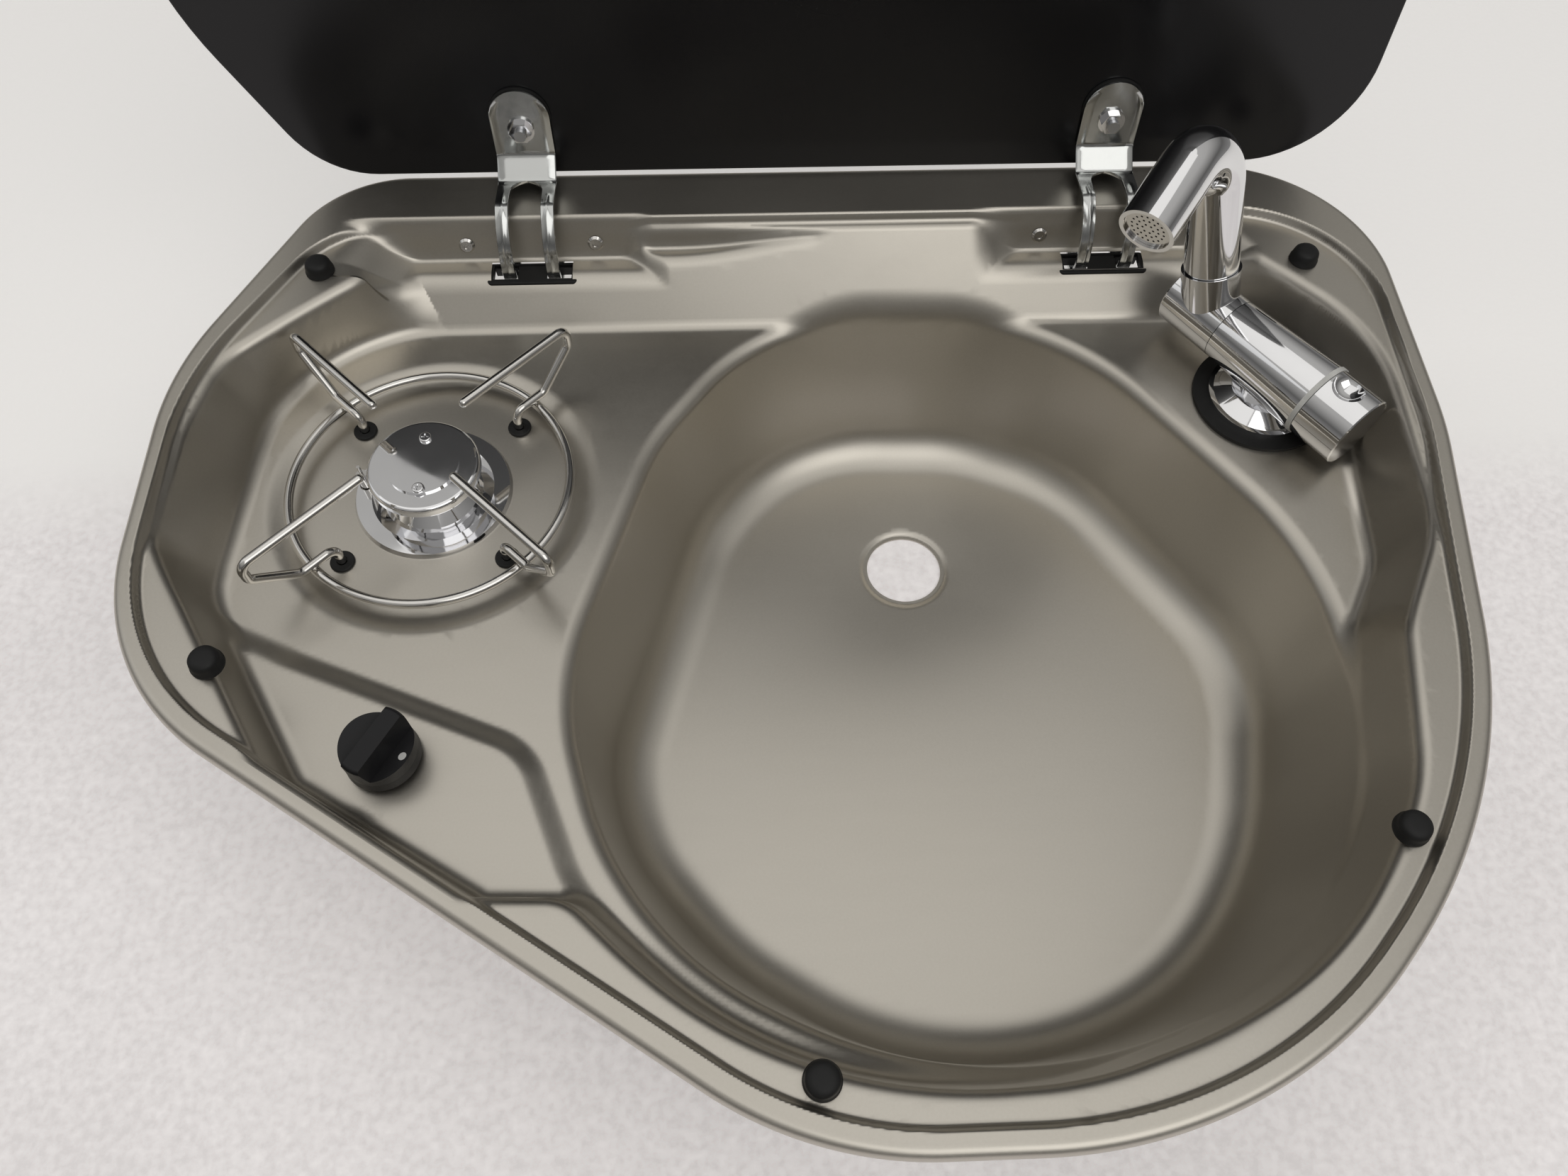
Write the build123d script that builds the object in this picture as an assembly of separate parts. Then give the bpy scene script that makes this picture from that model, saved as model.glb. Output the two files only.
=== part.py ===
from build123d import *
import math
import os

os.makedirs("parts", exist_ok=True)

# Hob and sink unit.
# X runs along the unit to the right, Y to the rear, Z up.
# The worktop's upper face is z = 0 and the rim's outline is centred on x = 0, y = 0.

# Main sizes
UNIT_W = 600.0
UNIT_D = 478.0
SHEET = 0.9
CREST_Z = 6.0
LEDGE_Z = 1.0
DECK_Z = -36.0
PLATEAU_Z = -31.0
DISH_Z = -39.0
SHELF_Z = -19.0
BOWL_Z = -124.0
DRAIN_Z = -127.0
CREST_Y = 205.0
SLOPE_FOOT_Y = 166.0

# Roundings and slopes of the pressed tray
RIM_ROUND = 4.0
DECK_FOOT = 8.0
PLATEAU_FOOT = 6.0
BOWL_FOOT = 24.0
RIM_TAPER = 30.0
WALL_TAPER = 10.0
BOWL_TAPER = 12.5
SHELF_TAPER = 15.0

# Outlines of the tray: x as a share of the width, y as a share of the depth, corner radius as a share of the width
rim_shares = [(-0.400, 0.500, 0.100), (-0.503, 0.226, 0.250), (-0.500, -0.107, 0.200), (-0.022, -0.502, 0.250),
              (0.245, -0.502, 0.333), (0.445, -0.251, 0.417), (0.495, 0.126, 0.333), (0.500, 0.500, 0.137)]
crest_shares = [(-0.398, 0.429, 0.092), (-0.490, 0.218, 0.250), (-0.488, -0.092, 0.187), (-0.015, -0.483, 0.237),
                (0.238, -0.483, 0.320), (0.430, -0.243, 0.400), (0.480, 0.126, 0.317), (0.486, 0.429, 0.112)]
deck_shares = [(-0.350, 0.424, 0.017), (-0.469, 0.247, 0.033), (-0.482, 0.092, 0.100), (-0.452, -0.021, 0.023),
               (-0.220, -0.167, 0.050), (-0.173, -0.276, 0.067), (-0.103, -0.372, 0.013), (0.100, -0.251, 0.050),
               (0.407, -0.071, 0.013), (0.462, 0.008, 0.027), (0.468, 0.063, 0.100), (0.475, 0.255, 0.023),
               (0.380, 0.424, 0.017)]
plateau_shares = [(-0.425, -0.006, 0.020), (-0.423, -0.044, 0.025), (-0.362, -0.182, 0.027), (-0.250, -0.272, 0.020),
                  (-0.108, -0.383, 0.013), (0.000, -0.209, 0.033), (-0.167, -0.042, 0.050)]
bowl_shares = [(-0.035, 0.379, 0.150), (-0.177, 0.126, 0.250), (-0.207, -0.192, 0.167), (-0.050, -0.454, 0.217),
               (0.233, -0.454, 0.200), (0.390, -0.247, 0.267), (0.433, -0.063, 0.133), (0.385, 0.130, 0.250),
               (0.197, 0.379, 0.200)]
shelf_left_shares = [(-0.350, 0.414), (-0.375, 0.335), (-0.115, 0.335), (-0.153, 0.414)]
shelf_right_shares = [(0.198, 0.414), (0.165, 0.335), (0.392, 0.335), (0.360, 0.414)]
relief_shares = [(-0.140, 0.428), (-0.153, 0.385), (0.045, 0.385), (0.000, 0.424)]
RELIEF_Z = -8.0

# Drain, hob dish and holes
DRAIN_X = 56.0
DRAIN_Y = 68.0
DRAIN_R = 21.3
DRAIN_SINK_R = 27.4
HOB_X = -182.3
HOB_Y = 65.9
DISH_R = 78.0
DISH_FOOT_R = 74.0
BURNER_HOLE_R = 18.0
ELECTRODE_X = -215.0
ELECTRODE_Y = 70.0
ELECTRODE_R = 2.6
ELECTRODE_HOLE_R = 3.2
LEG_STEP = 54.5
leg_angles = [45, 135, 225, 315]

# Rubber buffers under the lid
BUFFER_R = 7.1
BUFFER_TOP_R = 6.3
BUFFER_TOP_Z = 8.3
BUFFER_ROUND = 1.0
BUFFER_STEM_R = 2.4
BUFFER_STEM = 4.0
FIT = 0.1
buffer_share_points = [(-0.403, 0.367), (-0.421, -0.095), (-0.015, -0.446), (0.370, -0.274), (0.430, 0.357)]

# Seal under the rim
SEAL_IN = 4.2
SEAL_W = 2.4

# Lid and hinges
LID_T = 4.0
LID_LEAN = 5.0
LID_Y = 236.0
LID_LOW = 2.5
LID_ROUND = 1.2
PIVOT_Y = 216.0
PIVOT_Z = -10.0
lid_shares = [(-0.410, 0.410, 0.075), (-0.490, 0.209, 0.250), (-0.490, -0.092, 0.187), (-0.015, -0.483, 0.237),
              (0.238, -0.483, 0.320), (0.430, -0.243, 0.400), (0.482, 0.126, 0.317), (0.488, 0.410, 0.090)]
HINGE_LEFT_X = -139.5
HINGE_RIGHT_X = 161.5
ARM_T = 2.0
FORK_W = 38.6
FORK_GAP = 16.2
FORK_TOP_S = 12.0
PLATE_W = 30.0
PLATE_TOP = 51.0
PLATE_LOW = 15.0
PLATE_OFF = 1.0
BOLT_S = 30.0
BOLT_R = 3.0
BOLT_OUT = 5.0
BOLT_HEAD_R = 9.0
BOLT_HEAD_H = 2.0
BOLT_HOLE_R = 3.3
NUT_AF = 10.0
NUT_H = 4.0
NUT_FLANGE_R = 6.8
NUT_FLANGE_H = 1.2
WASHER_R = 15.6
EYE_R = 5.2
PIN_R = 2.5
PIN_GAP = 0.3
PIN_HEAD_R = 3.8
PIN_HEAD_T = 1.2
EAR_T = 1.5
SEAT_GAP = 0.05
EAR_GAP = 1.0
EAR_R = 7.0
WING_W = 19.0
WING_H = 14.0
RIVET_X = 33.5
RIVET_Z = -8.0
RIVET_R = 1.6
RIVET_HEAD_R = 4.1
RIVET_HEAD_H = 1.1
BRIDGE_RISE = 10.0
BRIDGE_L = 16.0
PAD_W = 46.8
PAD_Y0 = 182.6
PAD_Y1 = 197.0
PAD_T = 1.8
SLOT_HALF = 20.4
SLOT_Y0 = 185.6
SLOT_Y1 = 195.4
PAD_LIP = 0.7

# Centre line of the hinge arm's prongs with the lid open, y and z
ARM_ROOT_Y = 201.0
ARM_ROOT_Z = -27.0
ARM_HEEL_Y = 189.0
ARM_HEEL_Z = -25.0
ARM_SLOT_Y = 187.0
ARM_SLOT_Z = -14.0
ARM_MID_Y = 192.0
ARM_MID_Z = 3.0
ARM_TOP_Y = 205.0
ARM_TOP_Z = 14.5
ARM_STEP_Y = 224.0
ARM_STEP_Z = 12.5

# Pan support, made of round wire
WIRE_R = 2.25
RING_R = 66.9
RING_Z = -31.0
WELD_SINK = 0.3
FINGER_OUT = 93.0
FINGER_IN = 30.0
BAR_Z = 3.0
FINGER_KNEE = 73.0
FINGER_SIDE_Z = -8.0
FINGER_ROUND = 5.0
LEG_END_Z = -46.0
LEG_GAP = 0.35
GROMMET_R = 5.8
GROMMET_HOLE_R = 4.6
GROMMET_FLANGE = 1.4
GROMMET_NECK_R = 4.5

# Burner
BASE_R = 38.0
BASE_RIM = 2.2
BASE_T = 1.2
BASE_CUP_R = 24.0
NECK_R = 15.5
NECK_FOOT_R = 22.0
NECK_H = 14.0
HEAD_R = 24.5
HEAD_H = 3.0
CAP_R = 26.5
CAP_H = 5.0
CAP_ROUND = 2.0
CAP_DISC_R = 17.0
CAP_DISC_H = 1.2
CAP_SCREW_STEP = 14.6
SCREW_R = 2.9
SCREW_SHANK_R = 1.6
SCREW_SHANK = 6.0
SCREW_H = 1.4
CROSS_L = 3.4
CROSS_W = 0.8
CROSS_D = 0.7
TUBE_R = 13.0
TUBE_BORE_R = 10.0
CUP_R = 17.0
CUP_Z = -62.0
CUP_H = 14.0
JET_R = 4.0
JET_H = 10.0
JET_BORE_R = 0.6
ELECTRODE_H = 17.0
ELECTRODE_LOW = 12.0
ELECTRODE_TIP_R = 0.9
ELECTRODE_LEAN = 8.0

# Gas valve, pipes and knob
KNOB_X = -185.0
KNOB_Y = -76.0
KNOB_R = 15.6
KNOB_FOOT_R = 16.0
KNOB_SKIRT_H = 5.0
KNOB_H = 17.0
KNOB_GAP = 4.2
KNOB_GRIP_W = 9.0
KNOB_ROUND = 1.0
SPINDLE_R = 3.0
SPINDLE_HOLE_R = 4.2
VALVE_W = 24.0
VALVE_L = 34.0
VALVE_H = 34.0
VALVE_GAP = 2.0
PLUG_R = 7.0
PLUG_H = 16.0
PLUG_GAP = 0.3
VALVE_NOSE_R = 7.6
PUSH = 3.0
SPRING_R = 4.6
SPRING_WIRE_R = 0.45
SPRING_PITCH = 1.7
SPRING_H = 6.0
SPINDLE_COLLAR_R = 6.0
SPINDLE_COLLAR_T = 1.8
PIPE_R = 4.0
PIPE_BORE_R = 3.0
PIPE_ROUND = 14.0
PIPE_Z = -70.0
INLET_Y = 150.0
INLET_L = 30.0
NUT_GAS_R = 8.0
NUT_GAS_H = 12.0

# Tap
TAP_X = 234.0
TAP_Y = 110.5
TAP_TURN = -55.2
TAP_RISE = 24.5
GASKET_R = 34.0
GASKET_T = 2.0
FLANGE_R = 26.7
FLANGE_T = 2.4
DOME_H = 5.0
DOME_TOP_R = 17.0
POST_R = 12.5
TAP_HOLE_R = 17.5
SHANK_R = 13.5
SHANK_BORE_R = 6.0
SHANK_L = 40.0
LOCK_R = 23.0
LOCK_T = 3.0
LOCK_NUT_AF = 32.0
LOCK_NUT_H = 8.0
TAIL_R = 4.0
TAIL_BORE_R = 3.0
TAIL_L = 50.0
BARREL_R = 16.2
BARREL_RING_R = 19.0
SEAM = -31.0
RING_AT = 24.5
RING_T = 2.4
HANDLE_GAP = 0.3
HANDLE_R = 18.5
HANDLE_END = 51.0
SCOOP_R = 9.0
SCOOP_AT = 36.0
SCOOP_SINK = 5.0
CORE_R = 9.0
CORE_L = 22.0
CORE_TIP = 3.0
BLOCK_R = 16.2
BLOCK_END = -64.0
SPOUT_AT = -45.0
JOURNAL_R = 9.0
JOURNAL_L = 12.0
COLLAR_R = 14.4
COLLAR_TOP = 26.0
SPOUT_LEAN = 20.0
SPOUT_R = 13.2
SPOUT_BORE_R = 11.6
SPOUT_BEND_R = 21.0
SPOUT_STRAIGHT = 70.6
SPOUT_TURN = 111.0
SPOUT_SIDE = 12.0
SPOUT_TAIL = 9.0
SPOUT_TAIL_LEN = 36.0
SLEEVE_L = 27.0
AERATOR_R = 11.2
AERATOR_L = 7.0
AERATOR_SET = 1.5
AERATOR_HOLE_R = 0.55
AERATOR_PITCH = 2.6
AERATOR_RINGS = 3
AERATOR_T = 1.2


def closed_line(shares):
    """Rounded closed outline from its corner shares."""
    corners = [(UNIT_W * x, UNIT_D * y) for x, y, r in shares]
    radii = [UNIT_W * r for x, y, r in shares]
    return FilletPolyline(*corners, radius=radii, close=True)


def plate_face(shares, level, grow):
    """Flat face of an outline at a level, made larger or smaller by a distance."""
    face = make_face(closed_line(shares))
    if grow != 0:
        face = offset(face, amount=grow, kind=Kind.ARC)
    return Pos(0, 0, level) * face


def sunk(face, depth, taper):
    """Solid that goes down from a face and narrows by the taper."""
    return extrude(face, amount=depth, dir=(0, 0, -1), taper=taper)


def round_foot(solid, radius):
    """Round the lowest edges of a solid."""
    return fillet(solid.edges().group_by(Axis.Z)[0], radius=radius)


def at(x, y, z):
    """Plain shift."""
    return Pos(x, y, z)


def upright(x, y, z, radius, height):
    """Upright cylinder with its foot at z."""
    return Pos(x, y, z) * Cylinder(radius, height, align=(Align.CENTER, Align.CENTER, Align.MIN))


def export(shape, name):
    """Write one piece."""
    export_step(shape, "parts/" + name + ".step")
    return shape


def rear_wedge(grow):
    """Solid behind the sloping rear wall; its face moves out by the growth."""
    rise = CREST_Z - DECK_Z
    run = CREST_Y - SLOPE_FOOT_Y
    shift = grow * math.hypot(rise, run) / rise
    foot_y = SLOPE_FOOT_Y + shift
    low = DECK_Z - rise
    with BuildPart() as wedge:
        with BuildSketch(Plane.YZ.offset(-UNIT_W)):
            Polygon((foot_y - run, low), (CREST_Y + shift + run, CREST_Z + rise),
                    (CREST_Y + UNIT_D, CREST_Z + rise), (CREST_Y + UNIT_D, low), align=None)
        extrude(amount=UNIT_W + UNIT_W)
    return wedge.part


def shelf(shares, level, grow):
    """Pocket pressed into the rear wall above a shelf."""
    face = make_face(Polyline(*[(UNIT_W * x, UNIT_D * y) for x, y in shares], close=True))
    if grow != 0:
        face = offset(face, amount=grow, kind=Kind.INTERSECTION)
    start = level - grow
    return extrude(Pos(0, 0, start) * face, amount=CREST_Z - start, taper=-SHELF_TAPER)


def pocket_set(grow):
    """All hollows of the tray, each made larger by the growth."""
    rim = sunk(plate_face(crest_shares, CREST_Z, grow), CREST_Z - LEDGE_Z + grow, RIM_TAPER)
    deck = round_foot(sunk(plate_face(deck_shares, LEDGE_Z, grow), LEDGE_Z - DECK_Z + grow, WALL_TAPER), DECK_FOOT + grow)
    plateau = round_foot(sunk(plate_face(plateau_shares, LEDGE_Z, grow), LEDGE_Z - PLATEAU_Z + grow, WALL_TAPER),
                         PLATEAU_FOOT + grow)
    bowl = round_foot(sunk(plate_face(bowl_shares, LEDGE_Z, grow), LEDGE_Z - BOWL_Z + grow, BOWL_TAPER), BOWL_FOOT + grow)
    dish_cone = at(HOB_X, HOB_Y, (DECK_Z + DISH_Z) / 2 - grow) * Cone(DISH_FOOT_R + grow, DISH_R + grow, DECK_Z - DISH_Z)
    drain_cone = at(DRAIN_X, DRAIN_Y, (BOWL_Z + DRAIN_Z) / 2 - grow) * Cone(DRAIN_R + grow, DRAIN_SINK_R + grow, BOWL_Z - DRAIN_Z)
    wedge = rear_wedge(grow)
    open_top = rim + deck + plateau + dish_cone
    hollow = open_top - wedge
    hollow = hollow + bowl + drain_cone
    hollow = hollow + shelf(shelf_left_shares, SHELF_Z, grow) + shelf(shelf_right_shares, SHELF_Z, grow)
    hollow = hollow + shelf(relief_shares, RELIEF_Z, grow)
    return hollow


def leg_points():
    """Centres of the four grommets."""
    return [(HOB_X + LEG_STEP * math.cos(math.radians(a)), HOB_Y + LEG_STEP * math.sin(math.radians(a))) for a in leg_angles]


def buffer_points():
    return [(UNIT_W * x, UNIT_D * y) for x, y in buffer_share_points]


def rivet_frame(x):
    """Frame on the inner face of the steep wall above a shelf, its Z pointing to the front."""
    slope = math.radians(SHELF_TAPER)
    y = UNIT_D * shelf_left_shares[0][1] + (RIVET_Z - SHELF_Z) * math.tan(slope)
    return Plane(origin=(x, y, RIVET_Z), x_dir=(1, 0, 0), z_dir=(0, -math.cos(slope), math.sin(slope)))


def hinge_xs():
    return [("left", HINGE_LEFT_X), ("right", HINGE_RIGHT_X)]


def build_tray():
    flange = extrude(plate_face(rim_shares, 0, 0), amount=CREST_Z)
    flange = fillet(flange.edges().group_by(Axis.Z)[-1], radius=RIM_ROUND)
    under = extrude(plate_face(rim_shares, 0, -SHEET), amount=CREST_Z - SHEET)
    under = fillet(under.edges().group_by(Axis.Z)[-1], radius=RIM_ROUND - SHEET)
    body = flange - under
    body = body + pocket_set(SHEET)
    body = body - pocket_set(0)
    deep = CREST_Z - BOWL_Z
    cuts = [upright(DRAIN_X, DRAIN_Y, DRAIN_Z - deep, DRAIN_R - SHEET, deep + deep)]
    cuts.append(upright(HOB_X, HOB_Y, DISH_Z - DECK_FOOT, BURNER_HOLE_R, DECK_FOOT + DECK_FOOT))
    cuts.append(upright(ELECTRODE_X, ELECTRODE_Y, DISH_Z - DECK_FOOT, ELECTRODE_HOLE_R, DECK_FOOT + DECK_FOOT))
    cuts.append(upright(TAP_X, TAP_Y, DECK_Z - DECK_FOOT, TAP_HOLE_R, DECK_FOOT + DECK_FOOT))
    cuts.append(upright(KNOB_X, KNOB_Y, PLATEAU_Z - DECK_FOOT, SPINDLE_HOLE_R, DECK_FOOT + DECK_FOOT))
    for x, y in leg_points():
        cuts.append(upright(x, y, DISH_Z - DECK_FOOT, GROMMET_HOLE_R, DECK_FOOT + DECK_FOOT))
    for x, y in buffer_points():
        cuts.append(upright(x, y, LEDGE_Z - BUFFER_STEM, BUFFER_STEM_R + FIT, BUFFER_STEM + BUFFER_STEM))
    for name, x in hinge_xs():
        slot_w = SLOT_HALF + SLOT_HALF + PAD_LIP + PAD_LIP + FIT + FIT
        slot_l = SLOT_Y1 - SLOT_Y0 + PAD_LIP + PAD_LIP + FIT + FIT
        cuts.append(at(x, (SLOT_Y0 + SLOT_Y1) / 2, SHELF_Z) * Box(slot_w, slot_l, DECK_FOOT))
        for side in (-1, 1):
            frame = rivet_frame(x + side * RIVET_X)
            cuts.append(frame * Cylinder(RIVET_R + FIT, DECK_FOOT))
    for cut in cuts:
        body = body - cut
    return export(body, "tray")


def build_rim_seal():
    outer = extrude(plate_face(rim_shares, 0, -SEAL_IN), amount=CREST_Z - SHEET)
    inner = extrude(plate_face(rim_shares, 0, -SEAL_IN - SEAL_W), amount=CREST_Z - SHEET)
    return export(outer - inner, "rim_seal")


def build_buffers():
    for number, (x, y) in enumerate(buffer_points()):
        height = BUFFER_TOP_Z - LEDGE_Z
        body = at(x, y, LEDGE_Z + height / 2) * Cone(BUFFER_R, BUFFER_TOP_R, height)
        body = fillet(body.edges().group_by(Axis.Z)[-1], radius=BUFFER_ROUND)
        stem = upright(x, y, LEDGE_Z - BUFFER_STEM, BUFFER_STEM_R, BUFFER_STEM + BUFFER_ROUND)
        export(body + stem, "lid_buffer_%d" % (number + 1))


def build_slot_pads():
    for name, x in hinge_xs():
        width = PAD_Y1 - PAD_Y0
        plate = at(x, (PAD_Y0 + PAD_Y1) / 2, SHELF_Z + PAD_T / 2) * Box(PAD_W, width, PAD_T)
        plate = fillet(plate.edges().filter_by(Axis.Z), radius=width / 6)
        plate = fillet(plate.edges().group_by(Axis.Z)[-1], radius=PAD_T / 3)
        slot_y = (SLOT_Y0 + SLOT_Y1) / 2
        lip_h = PAD_T + SHEET + SHEET
        lip = at(x, slot_y, SHELF_Z + PAD_T - lip_h / 2) * Box(SLOT_HALF + SLOT_HALF + PAD_LIP + PAD_LIP,
                                                           SLOT_Y1 - SLOT_Y0 + PAD_LIP + PAD_LIP, lip_h)
        slot = at(x, slot_y, SHELF_Z) * Box(SLOT_HALF + SLOT_HALF, SLOT_Y1 - SLOT_Y0, PAD_T * 4)
        export(plate + lip - slot, "slot_pad_" + name)


def lid_frame(x):
    """Frame on the inner face of the open lid: X along the unit, Y up the glass, Z to the front."""
    lean = math.radians(LID_LEAN)
    return Plane(origin=(x, LID_Y, CREST_Z), x_dir=(1, 0, 0), z_dir=(0, -math.cos(lean), math.sin(lean)))


def arm_point(s, n):
    """Point in the Y-Z plane from its height on the glass and its distance in front of it."""
    spot = lid_frame(0).from_local_coords(Vector(0, s, n))
    return (spot.Y, spot.Z)


def build_arms():
    mid = PLATE_OFF + ARM_T / 2
    path = Line((PIVOT_Y, PIVOT_Z), (ARM_ROOT_Y, ARM_ROOT_Z))
    path += Line((ARM_ROOT_Y, ARM_ROOT_Z), (ARM_HEEL_Y, ARM_HEEL_Z))
    path += Line((ARM_HEEL_Y, ARM_HEEL_Z), (ARM_SLOT_Y, ARM_SLOT_Z))
    path += ThreePointArc((ARM_SLOT_Y, ARM_SLOT_Z), (ARM_MID_Y, ARM_MID_Z), (ARM_TOP_Y, ARM_TOP_Z))
    path += Line((ARM_TOP_Y, ARM_TOP_Z), (ARM_STEP_Y, ARM_STEP_Z))
    path += Line((ARM_STEP_Y, ARM_STEP_Z), arm_point(PLATE_LOW, mid))
    path += Line(arm_point(PLATE_LOW, mid), arm_point(PLATE_TOP, mid))
    strip = trace(path, line_width=ARM_T)
    strap = extrude(Plane.YZ.offset(-FORK_W / 2) * strip, amount=FORK_W)
    frame = lid_frame(0)
    arch_y = ARM_STEP_Y - FORK_GAP / 2
    slot = at(0, arch_y - UNIT_D / 2, 0) * Box(FORK_GAP, UNIT_D, UNIT_W)
    round_end = at(0, arch_y, 0) * Cylinder(FORK_GAP / 2, UNIT_W)
    strap = strap - slot - round_end
    cap = frame * (at(0, PLATE_TOP - PLATE_W / 2, mid) * Cylinder(PLATE_W / 2, ARM_T * 3))
    body_low = PLATE_LOW + FORK_TOP_S / 2
    plate_len = PLATE_TOP - PLATE_W / 2 - body_low
    plate = frame * (at(0, body_low + plate_len / 2, mid) * Box(PLATE_W, plate_len, ARM_T * 3))
    outside = frame * (at(0, body_low + UNIT_D / 2, mid) * Box(UNIT_W, UNIT_D, ARM_T * 4))
    keep = cap + plate
    strap = strap - (outside - keep)
    hole = frame * (at(0, BOLT_S, mid) * Cylinder(BOLT_HOLE_R, ARM_T * 4))
    strap = strap - hole
    prong_w = (FORK_W - FORK_GAP) / 2
    for side in (-1, 1):
        centre = side * (FORK_GAP + prong_w) / 2
        eye = Pos(centre, PIVOT_Y, PIVOT_Z) * Rot(0, 90, 0) * Cylinder(EYE_R, prong_w)
        strap = strap + eye
    bore = Pos(0, PIVOT_Y, PIVOT_Z) * Rot(0, 90, 0) * Cylinder(PIN_R + PIN_GAP, UNIT_W)
    strap = strap - bore
    for name, x in hinge_xs():
        export(Pos(x, 0, 0) * strap, "hinge_arm_" + name)


def build_lid():
    lean = math.radians(LID_LEAN)
    dy = -math.sin(lean)
    dz = -math.cos(lean)
    inner = CREST_Z + LID_LOW
    face = make_face(closed_line(lid_shares))
    glass = extrude(face, amount=LID_T)
    glass = fillet(glass.edges().group_by(Axis.Z)[0] + glass.edges().group_by(Axis.Z)[-1], radius=LID_ROUND)
    glass = Pos(0, -UNIT_D * lid_shares[0][1], 0) * glass
    stand = Plane(origin=(0, LID_Y, CREST_Z), x_dir=(1, 0, 0), z_dir=(0, math.cos(lean), -math.sin(lean)))
    glass = stand * (Pos(0, -LID_LOW, 0) * glass)
    for name, x in hinge_xs():
        glass = glass - lid_frame(x) * (at(0, BOLT_S, -LID_T / 2) * Cylinder(BOLT_HOLE_R, LID_T * 2))
    export(glass, "lid_glass")
    mid = PLATE_OFF + ARM_T
    for name, x in hinge_xs():
        frame = lid_frame(x)
        pad = frame * (at(0, PLATE_TOP - PLATE_W / 2, PLATE_OFF / 2) * Cylinder(WASHER_R, PLATE_OFF))
        pad = pad - frame * (at(0, BOLT_S, 0) * Cylinder(BOLT_HOLE_R, LID_T))
        export(pad, "lid_pad_" + name)
        head = at(0, BOLT_S, -LID_T - BOLT_HEAD_H / 2) * Cone(BOLT_HEAD_R - BOLT_HEAD_H, BOLT_HEAD_R, BOLT_HEAD_H)
        length = LID_T + mid + NUT_H + BOLT_OUT / 2
        shank = at(0, BOLT_S, -LID_T + length / 2) * Cylinder(BOLT_R, length)
        bolt = frame * (head + shank)
        export(bolt, "lid_bolt_" + name)
        flange = at(0, BOLT_S, mid + NUT_FLANGE_H / 2) * Cylinder(NUT_FLANGE_R, NUT_FLANGE_H)
        hexagon = extrude(at(0, BOLT_S, mid) * RegularPolygon(NUT_AF / 2, 6, major_radius=False), amount=NUT_H)
        nut = frame * (flange + hexagon - at(0, BOLT_S, mid) * Cylinder(BOLT_R + FIT, UNIT_W))
        export(nut, "lid_nut_" + name)


def build_brackets():
    slope = math.radians(SHELF_TAPER)
    wall = (SHEET + SHEET * math.tan(slope)) * math.cos(slope)
    ear_x = FORK_W / 2 + EAR_GAP
    rivets = []
    for name, x in hinge_xs():
        parts = []
        back = wall + SEAT_GAP
        for side in (-1, 1):
            frame = rivet_frame(x + side * RIVET_X)
            inner_edge = RIVET_X - ear_x - EAR_T
            wing_mid = side * ((WING_W / 2) - inner_edge - EAR_T)
            wing = frame * (at(wing_mid, 0, -back - EAR_T / 2) * Box(WING_W, WING_H, EAR_T))
            hole = frame * Cylinder(RIVET_R + FIT, UNIT_D / 8)
            wall_spot = frame.from_local_coords(Vector(0, 0, -back))
            wall_y = wall_spot.Y
            low_y = wall_y - (WING_H / 2) * math.sin(slope)
            high_y = wall_y + (WING_H / 2) * math.sin(slope)
            low_z = wall_spot.Z - (WING_H / 2) * math.cos(slope)
            high_z = wall_spot.Z + (WING_H / 2) * math.cos(slope)
            tip = BRIDGE_RISE + PIVOT_Z
            with BuildPart() as ear:
                with BuildSketch(Plane.YZ.offset(x + side * (ear_x + EAR_T / 2) - EAR_T / 2)):
                    with Locations((PIVOT_Y, PIVOT_Z)):
                        Circle(EAR_R)
                    Polygon((low_y, low_z), (PIVOT_Y, PIVOT_Z - EAR_R), (PIVOT_Y + EAR_R, PIVOT_Z),
                            (PIVOT_Y + EAR_R, tip + EAR_T), (high_y + EAR_T, tip + EAR_T), (high_y, high_z), align=None)
                extrude(amount=EAR_T)
            parts.append(wing + ear.part - hole)
        span = ear_x + ear_x + EAR_T + EAR_T
        bridge = at(x, PIVOT_Y + EAR_R - BRIDGE_L / 2, PIVOT_Z + BRIDGE_RISE + EAR_T / 2) * Box(span, BRIDGE_L, EAR_T)
        body = parts[0] + parts[1] + bridge
        bore = Pos(x, PIVOT_Y, PIVOT_Z) * Rot(0, 90, 0) * Cylinder(PIN_R + FIT, UNIT_W / 4)
        export(body - bore, "hinge_bracket_" + name)
        length = span + FIT + FIT
        pin = Pos(x, PIVOT_Y, PIVOT_Z) * Rot(0, 90, 0) * Cylinder(PIN_R, length)
        for side in (-1, 1):
            head = Pos(x + side * (length + PIN_HEAD_T) / 2, PIVOT_Y, PIVOT_Z) * Rot(0, 90, 0) * Cylinder(PIN_HEAD_R, PIN_HEAD_T)
            pin = pin + head
        export(pin, "hinge_pin_" + name)
        for side in (-1, 1):
            frame = rivet_frame(x + side * RIVET_X)
            through = back + EAR_T
            head = frame * (at(0, 0, RIVET_HEAD_H / 2) * Cone(RIVET_HEAD_R, RIVET_HEAD_R - RIVET_HEAD_H, RIVET_HEAD_H))
            dimple = frame * (at(0, 0, RIVET_HEAD_H) * Cylinder(RIVET_R, RIVET_HEAD_H))
            shank = frame * (at(0, 0, -through / 2) * Cylinder(RIVET_R, through))
            tail = frame * (at(0, 0, -through - RIVET_HEAD_H / 2) * Cylinder(RIVET_R + RIVET_HEAD_H, RIVET_HEAD_H))
            rivets.append(head + shank + tail - dimple)
    export(Compound(rivets), "bracket_rivets")


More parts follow.
